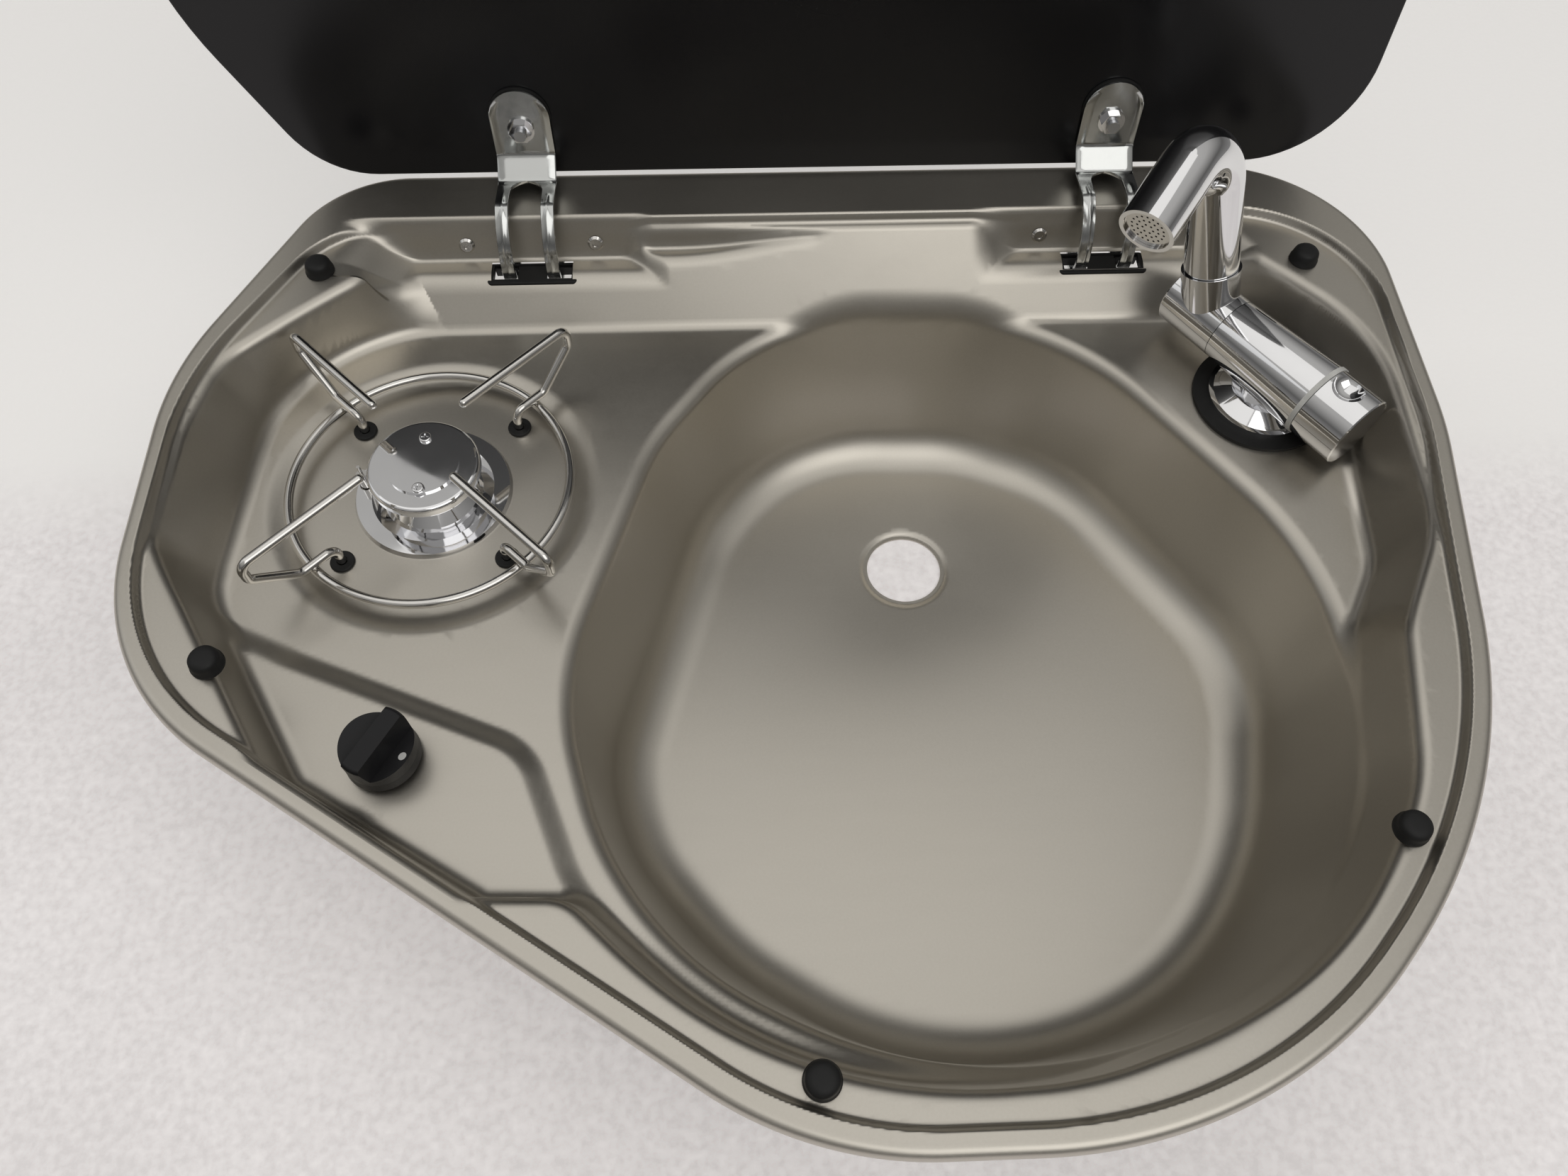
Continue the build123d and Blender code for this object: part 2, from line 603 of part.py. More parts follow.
def build_pan_support():
    ring = at(HOB_X, HOB_Y, RING_Z) * Torus(RING_R, WIRE_R)
    export(ring, "pan_ring")
    cross_z = RING_Z + WIRE_R + WIRE_R - WELD_SINK
    for number, angle in enumerate(leg_angles):
        turned = Plane(origin=(HOB_X, HOB_Y, 0), x_dir=(math.cos(math.radians(angle)), math.sin(math.radians(angle)), 0),
                       z_dir=(math.sin(math.radians(angle)), -math.cos(math.radians(angle)), 0))
        spots = [(LEG_STEP, LEG_END_Z), (LEG_STEP, cross_z), (FINGER_KNEE, cross_z), (FINGER_OUT, FINGER_SIDE_Z),
                 (FINGER_OUT, BAR_Z), (FINGER_IN, BAR_Z)]
        line = turned * FilletPolyline(*spots, radius=FINGER_ROUND, close=False)
        start = turned.from_local_coords(Vector(LEG_STEP, LEG_END_Z, 0))
        section = Plane(origin=start, z_dir=(0, 0, 1)) * Circle(WIRE_R)
        finger = sweep(section, path=line, transition=Transition.ROUND)
        tip = turned.from_local_coords(Vector(FINGER_IN, BAR_Z, 0))
        finger = finger + Pos(tip.X, tip.Y, tip.Z) * Sphere(WIRE_R)
        export(finger, "pan_finger_%d" % (number + 1))
    for number, (x, y) in enumerate(leg_points()):
        neck = upright(x, y, DISH_Z - SHEET - GROMMET_FLANGE, GROMMET_NECK_R, SHEET + GROMMET_FLANGE + GROMMET_FLANGE)
        top = upright(x, y, DISH_Z, GROMMET_R, GROMMET_FLANGE)
        top = fillet(top.edges().group_by(Axis.Z)[-1], radius=GROMMET_FLANGE / 2)
        low = upright(x, y, DISH_Z - SHEET - GROMMET_FLANGE, GROMMET_R, GROMMET_FLANGE)
        bore = upright(x, y, DISH_Z - DECK_FOOT, WIRE_R + LEG_GAP, DECK_FOOT + DECK_FOOT)
        export(neck + top + low - bore, "grommet_%d" % (number + 1))


def ring_solid(x, y, z, outer, inner, height):
    return upright(x, y, z, outer, height) - upright(x, y, z - height, inner, height * 3)


def build_burner():
    floor = DISH_Z
    base = at(HOB_X, HOB_Y, floor + BASE_RIM / 2) * Cone(BASE_R, BASE_R - BASE_RIM / 2, BASE_RIM)
    recess = at(HOB_X, HOB_Y, floor + BASE_T + BASE_RIM / 2) * Cone(BASE_CUP_R, BASE_R - BASE_RIM, BASE_RIM)
    base = base - recess
    base = base - upright(HOB_X, HOB_Y, floor - BASE_R, TUBE_R + FIT, BASE_R + BASE_R)
    base = base - upright(ELECTRODE_X, ELECTRODE_Y, floor - BASE_R, ELECTRODE_HOLE_R, BASE_R + BASE_R)
    export(base, "burner_base")
    neck_z = floor + BASE_T
    profile_low = at(HOB_X, HOB_Y, neck_z + NECK_H / 4) * Cone(NECK_FOOT_R, NECK_R, NECK_H / 2)
    profile_top = at(HOB_X, HOB_Y, neck_z + NECK_H * 3 / 4) * Cone(NECK_R, HEAD_R, NECK_H / 2)
    head = upright(HOB_X, HOB_Y, neck_z + NECK_H, HEAD_R, HEAD_H)
    tube = upright(HOB_X, HOB_Y, CUP_Z, TUBE_R, neck_z - CUP_Z + NECK_H / 4)
    body = profile_low + profile_top + head + tube
    bore = upright(HOB_X, HOB_Y, CUP_Z - NECK_H, TUBE_BORE_R, neck_z - CUP_Z + NECK_H + NECK_H + HEAD_H / 2)
    body = body - bore
    export(body, "burner_body")
    cap_z = neck_z + NECK_H + HEAD_H
    cap = upright(HOB_X, HOB_Y, cap_z, CAP_R, CAP_H)
    cap = fillet(cap.edges().group_by(Axis.Z)[-1], radius=CAP_ROUND)
    disc_z = cap_z + CAP_H
    spots = [(HOB_X, HOB_Y + CAP_SCREW_STEP), (HOB_X, HOB_Y - CAP_SCREW_STEP)]
    disc = upright(HOB_X, HOB_Y, disc_z, CAP_DISC_R, CAP_DISC_H)
    for x, y in spots:
        cap = cap - upright(x, y, cap_z - CAP_H, SCREW_SHANK_R + FIT, CAP_H * 3)
        disc = disc - upright(x, y, disc_z - CAP_H, SCREW_SHANK_R + FIT, CAP_H * 3)
    export(cap, "burner_cap")
    export(disc, "cap_disc")
    for number, (x, y) in enumerate(spots):
        top = disc_z + CAP_DISC_H
        screw = upright(x, y, top, SCREW_R, SCREW_H)
        screw = fillet(screw.edges().group_by(Axis.Z)[-1], radius=SCREW_H / 2)
        screw = screw + upright(x, y, top - SCREW_SHANK, SCREW_SHANK_R, SCREW_SHANK)
        for turn in (0, 90):
            screw = screw - at(x, y, top + SCREW_H - CROSS_D / 2) * Rot(0, 0, turn) * Box(CROSS_L, CROSS_W, CROSS_D)
        export(screw, "cap_screw_%d" % (number + 1))
    rod = upright(ELECTRODE_X, ELECTRODE_Y, floor - ELECTRODE_LOW, ELECTRODE_R, ELECTRODE_LOW + ELECTRODE_H * 2 / 3)
    tip = upright(ELECTRODE_X, ELECTRODE_Y, floor, ELECTRODE_TIP_R, ELECTRODE_H)
    export(rod + tip, "flame_sensor")
    cup = ring_solid(HOB_X, HOB_Y, CUP_Z, CUP_R, TUBE_R + FIT, CUP_H) + upright(HOB_X, HOB_Y, CUP_Z - SCREW_H, CUP_R, SCREW_H)
    cup = cup - upright(HOB_X, HOB_Y, CUP_Z - CUP_H, JET_R, CUP_H + CUP_H / 2)
    export(cup, "mixer_cup")
    jet_z = CUP_Z - SCREW_H - JET_H / 2
    jet = upright(HOB_X, HOB_Y, jet_z, JET_R - FIT, JET_H) + upright(HOB_X, HOB_Y, jet_z, JET_R + SCREW_H, JET_H / 2 - FIT)
    jet = jet - upright(HOB_X, HOB_Y, jet_z - JET_H, JET_BORE_R, JET_H * 3)
    export(jet, "gas_jet")


def bent_pipe(points):
    """Round pipe along a bent line."""
    line = FilletPolyline(*points, radius=PIPE_ROUND, close=False)
    first = Vector(*points[0])
    ahead = Vector(*points[1]) - first
    ring = Plane(origin=first, z_dir=ahead) * Circle(PIPE_R)
    hole = Plane(origin=first, z_dir=ahead) * Circle(PIPE_BORE_R)
    return sweep(ring, path=line) - sweep(hole, path=line)


def build_gas():
    top = PLATEAU_Z - SHEET - VALVE_GAP
    mid_z = top - VALVE_H / 2
    body = at(KNOB_X, KNOB_Y, mid_z) * Box(VALVE_L, VALVE_W, VALVE_H)
    body = fillet(body.edges().filter_by(Axis.Z), radius=VALVE_GAP)
    collar = upright(KNOB_X, KNOB_Y, top, VALVE_NOSE_R, VALVE_GAP)
    body = body + collar
    room_h = PLUG_H + SPRING_H + PUSH + VALVE_GAP + VALVE_GAP
    body = body - upright(KNOB_X, KNOB_Y, top - room_h, PLUG_R + PLUG_GAP, room_h - VALVE_GAP)
    body = body - upright(KNOB_X, KNOB_Y, top - room_h, SPINDLE_R + PLUG_GAP, room_h + room_h)
    side = Pos(KNOB_X, KNOB_Y, mid_z - VALVE_H / 4) * Rot(0, 90, 0) * Cylinder(PIPE_BORE_R, VALVE_L * 2)
    body = body - side
    export(body, "valve_body")
    plug_low = top - room_h + PLUG_GAP
    plug = upright(KNOB_X, KNOB_Y, plug_low, PLUG_R, PLUG_H)
    plug = plug - upright(KNOB_X, KNOB_Y, plug_low + PLUG_H / 3, SPINDLE_R + PLUG_GAP, PLUG_H)
    plug = plug - Pos(KNOB_X, KNOB_Y, plug_low + PLUG_H / 6) * Rot(0, 90, 0) * Cylinder(PIPE_BORE_R / 2, PLUG_R * 4)
    export(plug, "valve_plug")
    stem_low = plug_low + PLUG_H / 3 + PUSH + PLUG_GAP
    stem_top = PLATEAU_Z + KNOB_GAP + KNOB_H / 2
    spindle = upright(KNOB_X, KNOB_Y, stem_low, SPINDLE_R, stem_top - stem_low)
    spring_z = plug_low + PLUG_H + PLUG_GAP
    spindle = spindle + upright(KNOB_X, KNOB_Y, spring_z + SPRING_H, SPINDLE_COLLAR_R, SPINDLE_COLLAR_T)
    export(spindle, "knob_spindle")
    knob_z = PLATEAU_Z + KNOB_GAP
    skirt = at(KNOB_X, KNOB_Y, knob_z + KNOB_SKIRT_H / 2) * Cone(KNOB_FOOT_R, KNOB_R, KNOB_SKIRT_H)
    crown = upright(KNOB_X, KNOB_Y, knob_z + KNOB_SKIRT_H, KNOB_R, KNOB_H - KNOB_SKIRT_H)
    crown = fillet(crown.edges().group_by(Axis.Z)[-1], radius=KNOB_ROUND + KNOB_ROUND)
    flat = KNOB_H - KNOB_SKIRT_H
    for turn in (-1, 1):
        step = turn * (KNOB_GRIP_W / 2 + KNOB_R / 2)
        cut = at(KNOB_X, KNOB_Y, 0) * Rot(0, 0, 60) * (at(0, step, knob_z + KNOB_SKIRT_H + flat)
                                                       * Rot(turn * 20, 0, 0) * Box(UNIT_W / 8, KNOB_R, flat))
        crown = crown - cut
    knob = skirt + crown
    knob = knob - upright(KNOB_X, KNOB_Y, knob_z - KNOB_H, SPINDLE_R + FIT, KNOB_H + KNOB_H / 2)
    export(knob, "knob")
    coil_h = SPRING_H - SPRING_WIRE_R * 2
    coil = Helix(SPRING_PITCH, coil_h, SPRING_R)
    start = coil @ 0
    wire = sweep(Plane(origin=start, z_dir=coil % 0) * Circle(SPRING_WIRE_R), path=coil, is_frenet=True)
    export(at(KNOB_X, KNOB_Y, spring_z + SPRING_WIRE_R) * wire, "knob_spring")
    side_z = mid_z - VALVE_H / 4
    jet_low = CUP_Z - SCREW_H - JET_H / 2
    left = KNOB_X - VALVE_L / 2
    pipe = bent_pipe([(left, KNOB_Y, side_z), (left - VALVE_W, KNOB_Y, side_z), (left - VALVE_W, KNOB_Y, PIPE_Z - VALVE_W),
                      (left - VALVE_W, HOB_Y, PIPE_Z - VALVE_W), (HOB_X, HOB_Y, PIPE_Z - VALVE_W), (HOB_X, HOB_Y, jet_low)])
    export(pipe, "gas_pipe")
    right = KNOB_X + VALVE_L / 2
    low_z = PIPE_Z
    inlet = bent_pipe([(right, KNOB_Y, side_z), (right + VALVE_W, KNOB_Y, side_z), (right + VALVE_W, KNOB_Y + VALVE_L + VALVE_L, side_z),
                       (right + VALVE_W, KNOB_Y + VALVE_L + VALVE_L, low_z - VALVE_W), (right + VALVE_W, INLET_Y + INLET_L, low_z - VALVE_W)])
    export(inlet, "gas_inlet")


def tap_frame(s, z):
    """Frame on the tap's barrel axis: Z along the barrel, Y up."""
    turn = math.radians(TAP_TURN)
    along = (math.cos(turn), math.sin(turn), 0)
    return Plane(origin=(TAP_X + along[0] * s, TAP_Y + along[1] * s, DECK_Z + TAP_RISE + z),
                 x_dir=(-along[1], along[0], 0), z_dir=along)


def length_rod(start, end, radius):
    """Cylinder on the barrel axis between two stations."""
    return tap_frame((start + end) / 2, 0) * Cylinder(radius, end - start)


def build_tap():
    gasket = ring_solid(TAP_X, TAP_Y, DECK_Z, GASKET_R, SHANK_R + FIT, GASKET_T)
    export(gasket, "tap_gasket")
    base_z = DECK_Z + GASKET_T
    base = upright(TAP_X, TAP_Y, base_z, FLANGE_R, FLANGE_T)
    base = base + at(TAP_X, TAP_Y, base_z + FLANGE_T + DOME_H / 2) * Cone(FLANGE_R - FLANGE_T, DOME_TOP_R, DOME_H)
    post_top = DECK_Z + TAP_RISE
    base = base + upright(TAP_X, TAP_Y, base_z, POST_R, post_top - base_z)
    base = base + upright(TAP_X, TAP_Y, base_z - SHANK_L, SHANK_R, SHANK_L)
    barrel = length_rod(SEAM, RING_AT, BARREL_R)
    cone_len = RING_AT - SEAM
    barrel = barrel + tap_frame((SEAM + RING_AT) / 2, 0) * Cone(BARREL_R, BARREL_RING_R, cone_len)
    barrel = barrel + base
    barrel = barrel - length_rod(RING_AT - CORE_L, RING_AT + CORE_L, CORE_R + FIT)
    barrel = barrel - length_rod(SEAM - JOURNAL_L, SEAM + JOURNAL_L, JOURNAL_R + HANDLE_GAP)
    barrel = barrel - upright(TAP_X, TAP_Y, base_z - SHANK_L - SHANK_L, SHANK_BORE_R, SHANK_L + SHANK_L + TAP_RISE / 2)
    export(barrel, "tap_body")
    under = DECK_Z - SHEET
    washer = ring_solid(TAP_X, TAP_Y, under - LOCK_T, LOCK_R, SHANK_R + FIT, LOCK_T)
    export(washer, "tap_washer")
    nut = extrude(at(TAP_X, TAP_Y, under - LOCK_T - LOCK_NUT_H) * RegularPolygon(LOCK_NUT_AF / 2, 6, major_radius=False),
                  amount=LOCK_NUT_H)
    nut = nut - upright(TAP_X, TAP_Y, under - LOCK_T - LOCK_NUT_H * 2, SHANK_R + FIT, LOCK_NUT_H * 4)
    export(nut, "tap_nut")
    tail_top = base_z - SHANK_L + SHANK_L / 4
    tail = upright(TAP_X, TAP_Y, tail_top - TAIL_L, TAIL_R, TAIL_L)
    tail = tail + upright(TAP_X, TAP_Y, tail_top - SHANK_L / 4, SHANK_BORE_R - FIT, SHANK_L / 4)
    tail = tail - upright(TAP_X, TAP_Y, tail_top - TAIL_L - TAIL_L, TAIL_BORE_R, TAIL_L * 4)
    export(tail, "tap_tail")
    ring = length_rod(RING_AT, RING_AT + RING_T, BARREL_RING_R + FIT) - length_rod(RING_AT - RING_T, RING_AT + RING_T * 2, CORE_R + FIT)
    export(ring, "tap_ring")
    start = RING_AT + RING_T + HANDLE_GAP
    core = length_rod(RING_AT - CORE_L + HANDLE_GAP, start + CORE_TIP, CORE_R - HANDLE_GAP)
    export(core, "tap_cartridge")
    handle = length_rod(start, HANDLE_END, HANDLE_R)
    rim = handle.edges().filter_by(GeomType.CIRCLE).sort_by(lambda e: (e.center() - tap_frame(0, 0).origin).length)[-1]
    handle = chamfer(rim, length=HANDLE_GAP * 2)
    scoop = tap_frame(SCOOP_AT, HANDLE_R + SCOOP_R - SCOOP_SINK) * Sphere(SCOOP_R)
    handle = handle - scoop
    socket = length_rod(start - HANDLE_GAP, start + CORE_TIP, CORE_R - HANDLE_GAP + FIT)
    handle = handle - socket
    export(handle, "tap_handle")


def spout_frames():
    """Frames at the foot of the spout's tube and at its bend."""
    lean = math.radians(SPOUT_LEAN)
    block = tap_frame(SPOUT_AT, 0)
    along = block.z_dir
    across = block.x_dir
    up = Vector(0, 0, 1)
    tube = up * math.cos(lean) - along * math.sin(lean)
    square = along * math.cos(lean) + up * math.sin(lean)
    out = math.radians(SPOUT_SIDE)
    bend = across * -math.cos(out) + square * math.sin(out)
    return block.origin, tube, along, bend


def build_spout():
    foot, tube, along, turn_dir = spout_frames()
    block = length_rod(BLOCK_END, SEAM - HANDLE_GAP, BLOCK_R)
    block = block + length_rod(SEAM - HANDLE_GAP, SEAM + JOURNAL_L - HANDLE_GAP, JOURNAL_R)
    block = chamfer(block.edges().filter_by(GeomType.CIRCLE).sort_by(lambda e: (e.center() - foot).dot(along))[0], length=HANDLE_GAP * 2)
    stand = Plane(origin=foot, z_dir=tube)
    collar = stand * at(0, 0, COLLAR_TOP / 2) * Cylinder(COLLAR_R, COLLAR_TOP)
    block = block + collar
    seat_gap = HANDLE_GAP
    block = block - stand * at(0, 0, COLLAR_TOP - SPOUT_TAIL / 2) * Cylinder(SPOUT_BORE_R - SHEET + HANDLE_GAP, SPOUT_TAIL)
    export(block, "tap_elbow")
    low = COLLAR_TOP + seat_gap
    turn = math.radians(SPOUT_TURN)
    bend_start = foot + tube * SPOUT_STRAIGHT
    start = foot + tube * low
    centre = bend_start + turn_dir * SPOUT_BEND_R
    half = turn / 2
    mid = centre - turn_dir * (SPOUT_BEND_R * math.cos(half)) + tube * (SPOUT_BEND_R * math.sin(half))
    bend_end = centre - turn_dir * (SPOUT_BEND_R * math.cos(turn)) + tube * (SPOUT_BEND_R * math.sin(turn))
    last = turn_dir * math.sin(turn) + tube * math.cos(turn)
    tail = SPOUT_TAIL_LEN - SLEEVE_L
    path = Wire([Line(start, bend_start), ThreePointArc(bend_start, mid, bend_end), Line(bend_end, bend_end + last * tail)])
    section = Plane(origin=start, z_dir=tube)
    spout = sweep(section * Circle(SPOUT_R), path=path) - sweep(section * Circle(SPOUT_BORE_R), path=path)
    plug = section * at(0, 0, (SHEET - SPOUT_TAIL) / 2 + FIT) * Cylinder(SPOUT_BORE_R - SHEET, SPOUT_TAIL - FIT)
    plug = plug + section * at(0, 0, SHEET) * Cylinder(SPOUT_BORE_R + FIT, SHEET * 2)
    plug = plug - section * Cylinder(SHANK_BORE_R, UNIT_W / 6)
    export(spout + plug, "spout")
    nose = Plane(origin=bend_end + last * tail, z_dir=last)
    sleeve = nose * at(0, 0, SLEEVE_L / 2) * Cylinder(SPOUT_R + FIT, SLEEVE_L) - nose * at(0, 0, SLEEVE_L / 2) * Cylinder(AERATOR_R + FIT, SLEEVE_L * 2)
    export(sleeve, "spout_sleeve")
    disc = nose * at(0, 0, SLEEVE_L - AERATOR_SET - AERATOR_L / 2) * Cylinder(AERATOR_R, AERATOR_L)
    disc = disc - nose * at(0, 0, SLEEVE_L - AERATOR_SET - AERATOR_T - AERATOR_L / 2) * Cylinder(AERATOR_R - SHEET, AERATOR_L)
    for ring in range(1, AERATOR_RINGS + 1):
        count = ring * 6
        for number in range(count):
            angle = number * 2 * math.pi / count
            spot = at(ring * AERATOR_PITCH * math.cos(angle), ring * AERATOR_PITCH * math.sin(angle), SLEEVE_L)
            disc = disc - nose * spot * Cylinder(AERATOR_HOLE_R, AERATOR_L * 2)
    export(disc, "aerator")


if __name__ == "__main__":
    build_tray()
    build_rim_seal()
    build_buffers()
    build_slot_pads()
    build_arms()
    build_lid()
    build_brackets()
    build_pan_support()
    build_burner()
    build_gas()
    build_tap()
    build_spout()
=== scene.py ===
# %% [markdown]
# # A hob and sink unit, dressed for its portrait
# The solids come from the CAD pack in metres, with X along the unit, Y to the rear and Z up. Blender adds
# what the solids leave out: the soft presswork of the tray, the finishes, the room and the camera. Every
# piece rides on one of the CAD bodies, so the lid, the knob and the tap still move.

# %% Load the frame
import math

import bpy
import numpy as np
from mathutils import Matrix, Vector


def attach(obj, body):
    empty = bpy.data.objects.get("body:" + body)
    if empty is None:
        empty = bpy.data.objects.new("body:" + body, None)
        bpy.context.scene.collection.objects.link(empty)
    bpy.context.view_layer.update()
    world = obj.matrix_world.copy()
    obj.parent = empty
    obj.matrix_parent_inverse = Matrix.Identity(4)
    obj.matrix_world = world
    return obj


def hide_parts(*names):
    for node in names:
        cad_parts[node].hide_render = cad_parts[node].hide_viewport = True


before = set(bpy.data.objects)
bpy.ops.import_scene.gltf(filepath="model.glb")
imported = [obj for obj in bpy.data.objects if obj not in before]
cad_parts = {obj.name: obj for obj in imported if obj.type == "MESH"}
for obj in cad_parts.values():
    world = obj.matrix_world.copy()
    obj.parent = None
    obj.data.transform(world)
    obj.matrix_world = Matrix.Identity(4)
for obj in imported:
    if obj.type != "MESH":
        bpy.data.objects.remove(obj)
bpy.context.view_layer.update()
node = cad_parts
MM = 0.001

# %% [markdown]
# ## The camera
# The photograph looks down on the unit from the front at about 60 degrees, a little left of its middle.
# A camera can be aimed with a Track To constraint, or turned by angles worked out from known points.
# The round drain, the round pan ring and the straight rear edge fix the angles here, so they are written out:
# a pitch, a small yaw and a small roll, with the focal length as a share of the picture's width.

# %% Camera at the photograph's viewpoint
PICTURE_W, FOCAL_PIXELS = 2212, 1679.0
SENSOR_W = 36.0
CAMERA_SPOT = Vector((-28.99, -272.29, 440.92)) * MM
PITCH, ROLL, YAW = math.radians(59.76), math.radians(1.19), math.radians(3.10)


def build_camera():
    gaze = Vector((math.sin(YAW) * math.cos(PITCH), math.cos(YAW) * math.cos(PITCH), -math.sin(PITCH)))
    level = Vector((math.cos(YAW), -math.sin(YAW), 0))
    crown = level.cross(gaze)
    right = level * math.cos(ROLL) + crown * math.sin(ROLL)
    up = crown * math.cos(ROLL) - level * math.sin(ROLL)
    lens = bpy.data.cameras.new("camera")
    lens.sensor_width = SENSOR_W
    lens.lens = SENSOR_W * FOCAL_PIXELS / PICTURE_W
    lens.clip_start, lens.clip_end = 0.01, 30
    made = bpy.data.objects.new("camera", lens)
    made.matrix_world = Matrix((
        (right.x, up.x, -gaze.x, CAMERA_SPOT.x),
        (right.y, up.y, -gaze.y, CAMERA_SPOT.y),
        (right.z, up.z, -gaze.z, CAMERA_SPOT.z),
        (0, 0, 0, 1)))
    bpy.context.scene.collection.objects.link(made)
    return made


camera = build_camera()
bpy.context.scene.camera = camera
print("lens in mm:", round(camera.data.lens, 2))

# %% [markdown]
# ## Writing shaders as sums
# A finish is a small graph of nodes. Adding each node by hand hides the idea behind it. The class Port wraps
# an output socket, so that `grain * 0.3 + 0.2` adds the Math nodes by itself. The class Graph has one method,
# `add`, for every other kind of node: it sets the node's own settings first and then fills its sockets, with
# a plain value or with a link. The class Finish is a Graph with a material round it.

# %% Sums of sockets
class Port:
    """An output socket that takes part in Python sums."""

    def __init__(self, graph, socket):
        self.graph, self.socket = graph, socket

    def combine(self, operation, first, second):
        return self.graph.add("Math", {"operation": operation}, {0: first, 1: second})

    def __add__(self, other):
        return self.combine("ADD", self, other)

    def __sub__(self, other):
        return self.combine("SUBTRACT", self, other)

    def __rsub__(self, other):
        return self.combine("SUBTRACT", other, self)

    def __mul__(self, other):
        return self.combine("MULTIPLY", self, other)

    __radd__, __rmul__ = __add__, __mul__


class Graph:
    """The nodes of one material or of the world."""

    def __init__(self, tree):
        self.tree = tree

    def put(self, socket, value):
        if isinstance(value, Port):
            self.tree.links.new(value.socket, socket)
        else:
            socket.default_value = value

    def add(self, kind, settings=None, values=None, out=0):
        made = self.tree.nodes.new("ShaderNode" + kind)
        for name, value in (settings or {}).items():
            if name == "stops":
                set_stops(made.color_ramp.elements, value)
            else:
                setattr(made, name, value)
        for name, value in (values or {}).items():
            self.put(made.inputs[name], value)
        return Port(self, made.outputs[out])


def set_stops(elements, stops):
    """A new colour ramp has two stops, so the others are added before all of them are placed."""
    for _ in range(len(stops) - 2):
        elements.new(0.5)
    for element, (place, colour) in zip(elements, stops):
        element.position, element.color = place, (*colour, 1)


SUMS = ("__add__", "__radd__", "__sub__", "__rsub__", "__mul__", "__rmul__")
print("operators on a socket:", [name for name in SUMS if name in vars(Port)])

# %% [markdown]
# ## A material and its usual steps
# Real surfaces are never even. Most finishes here start from a soft noise, squeeze it into a narrow range and
# feed it to the colour or the roughness. Those steps are methods, so each finish below reads as a short
# recipe. Noise could be pinned to a flat map of the surface. Object coordinates need no map and don't stretch
# round a bend.

# %% Finish
class Finish(Graph):
    """A material with one Principled shader; constants go straight onto the shader's sockets."""

    def __init__(self, name, **constants):
        self.material = bpy.data.materials.new(name)
        self.material.use_nodes = True
        super().__init__(self.material.node_tree)
        self.shader = self.tree.nodes["Principled BSDF"]
        self.feed(**constants)

    def feed(self, **values):
        for name, value in values.items():
            self.put(self.shader.inputs[name.replace("_", " ")], value)
        return self.material

    def spot(self, stretch=(1, 1, 1)):
        place = self.add("TexCoord", out="Object")
        return self.add("Mapping", None, {"Vector": place, "Scale": stretch})

    def speckle(self, scale, detail=3.0, stretch=(1, 1, 1)):
        values = {"Vector": self.spot(stretch), "Scale": scale, "Detail": detail}
        return self.add("TexNoise", None, values, out="Fac")

    def ramp(self, value, low, high, start=0.0, end=1.0):
        values = {"Value": value, "From Min": low, "From Max": high, "To Min": start, "To Max": end}
        return self.add("MapRange", None, values)

    def tint(self, share, first, second):
        first, second = (c if isinstance(c, Port) else (*c, 1) for c in (first, second))
        return self.add("Mix", {"data_type": "RGBA"}, {0: share, 6: first, 7: second}, out=2)

    def bump(self, height, depth, strength=1.0):
        return self.add("Bump", None, {"Height": height, "Distance": depth, "Strength": strength})


print("steps of a finish:", [name for name in vars(Finish) if not name.startswith("_")])

# %% [markdown]
# ## Outlines of the presswork
# The tray is one sheet of steel pressed between two dies, so every edge in it is a soft bend. Each pressed
# pocket has a rounded outline: straight runs joined by arcs that meet without a corner. An outline could be a
# curve object. A list of corners is easier to read and to measure from, so each row holds a corner's place as
# shares of the unit's width and depth, and its rounding as a share of the width.
# RIM is the outer edge and CREST the inner side of the roll. Each pocket then has a line at its top and one
# at its foot.

# %% Corners of each outline
UNIT_W, UNIT_D = 600.0, 478.0
RIM = [
    (-0.400, 0.500, 0.100), (-0.503, 0.226, 0.250), (-0.500, -0.107, 0.200), (-0.022, -0.502, 0.250),
    (0.245, -0.502, 0.333), (0.445, -0.251, 0.417), (0.495, 0.126, 0.333), (0.500, 0.500, 0.137)]
CREST = [
    (-0.398, 0.429, 0.092), (-0.490, 0.218, 0.250), (-0.488, -0.092, 0.187), (-0.015, -0.483, 0.237),
    (0.238, -0.483, 0.320), (0.430, -0.243, 0.400), (0.480, 0.126, 0.317), (0.486, 0.429, 0.112)]
WELL_TOP = [
    (-0.346, 0.419, 0.028), (-0.369, 0.355, 0.045), (-0.466, 0.249, 0.060), (-0.482, 0.171, 0.150),
    (-0.485, 0.036, 0.037), (-0.376, -0.184, 0.022), (-0.231, -0.303, 0.016), (-0.169, -0.306, 0.034),
    (-0.042, -0.463, 0.315), (0.143, -0.453, 0.259), (0.321, -0.385, 0.305), (0.391, -0.221, 0.153),
    (0.414, -0.086, 0.065), (0.463, 0.021, 0.141), (0.471, 0.252, 0.142), (0.369, 0.396, 0.032),
    (0.360, 0.419, 0.013)]
WELL_FOOT = [
    (-0.441, 0.348, 0.127), (-0.458, 0.010, 0.054), (-0.366, -0.184, 0.020), (-0.230, -0.289, 0.013),
    (-0.165, -0.293, 0.033), (-0.033, -0.434, 0.284), (0.128, -0.444, 0.255), (0.324, -0.369, 0.289),
    (0.385, -0.198, 0.151), (0.408, -0.052, 0.068), (0.439, 0.014, 0.064), (0.452, 0.179, 0.167),
    (0.449, 0.347, 0.099)]
PLATEAU = [
    (-0.520, 0.026, 0.010), (-0.520, -0.480, 0.010), (-0.067, -0.435, 0.010), (-0.174, -0.274, 0.100),
    (-0.212, -0.151, 0.055), (-0.392, -0.054, 0.070)]
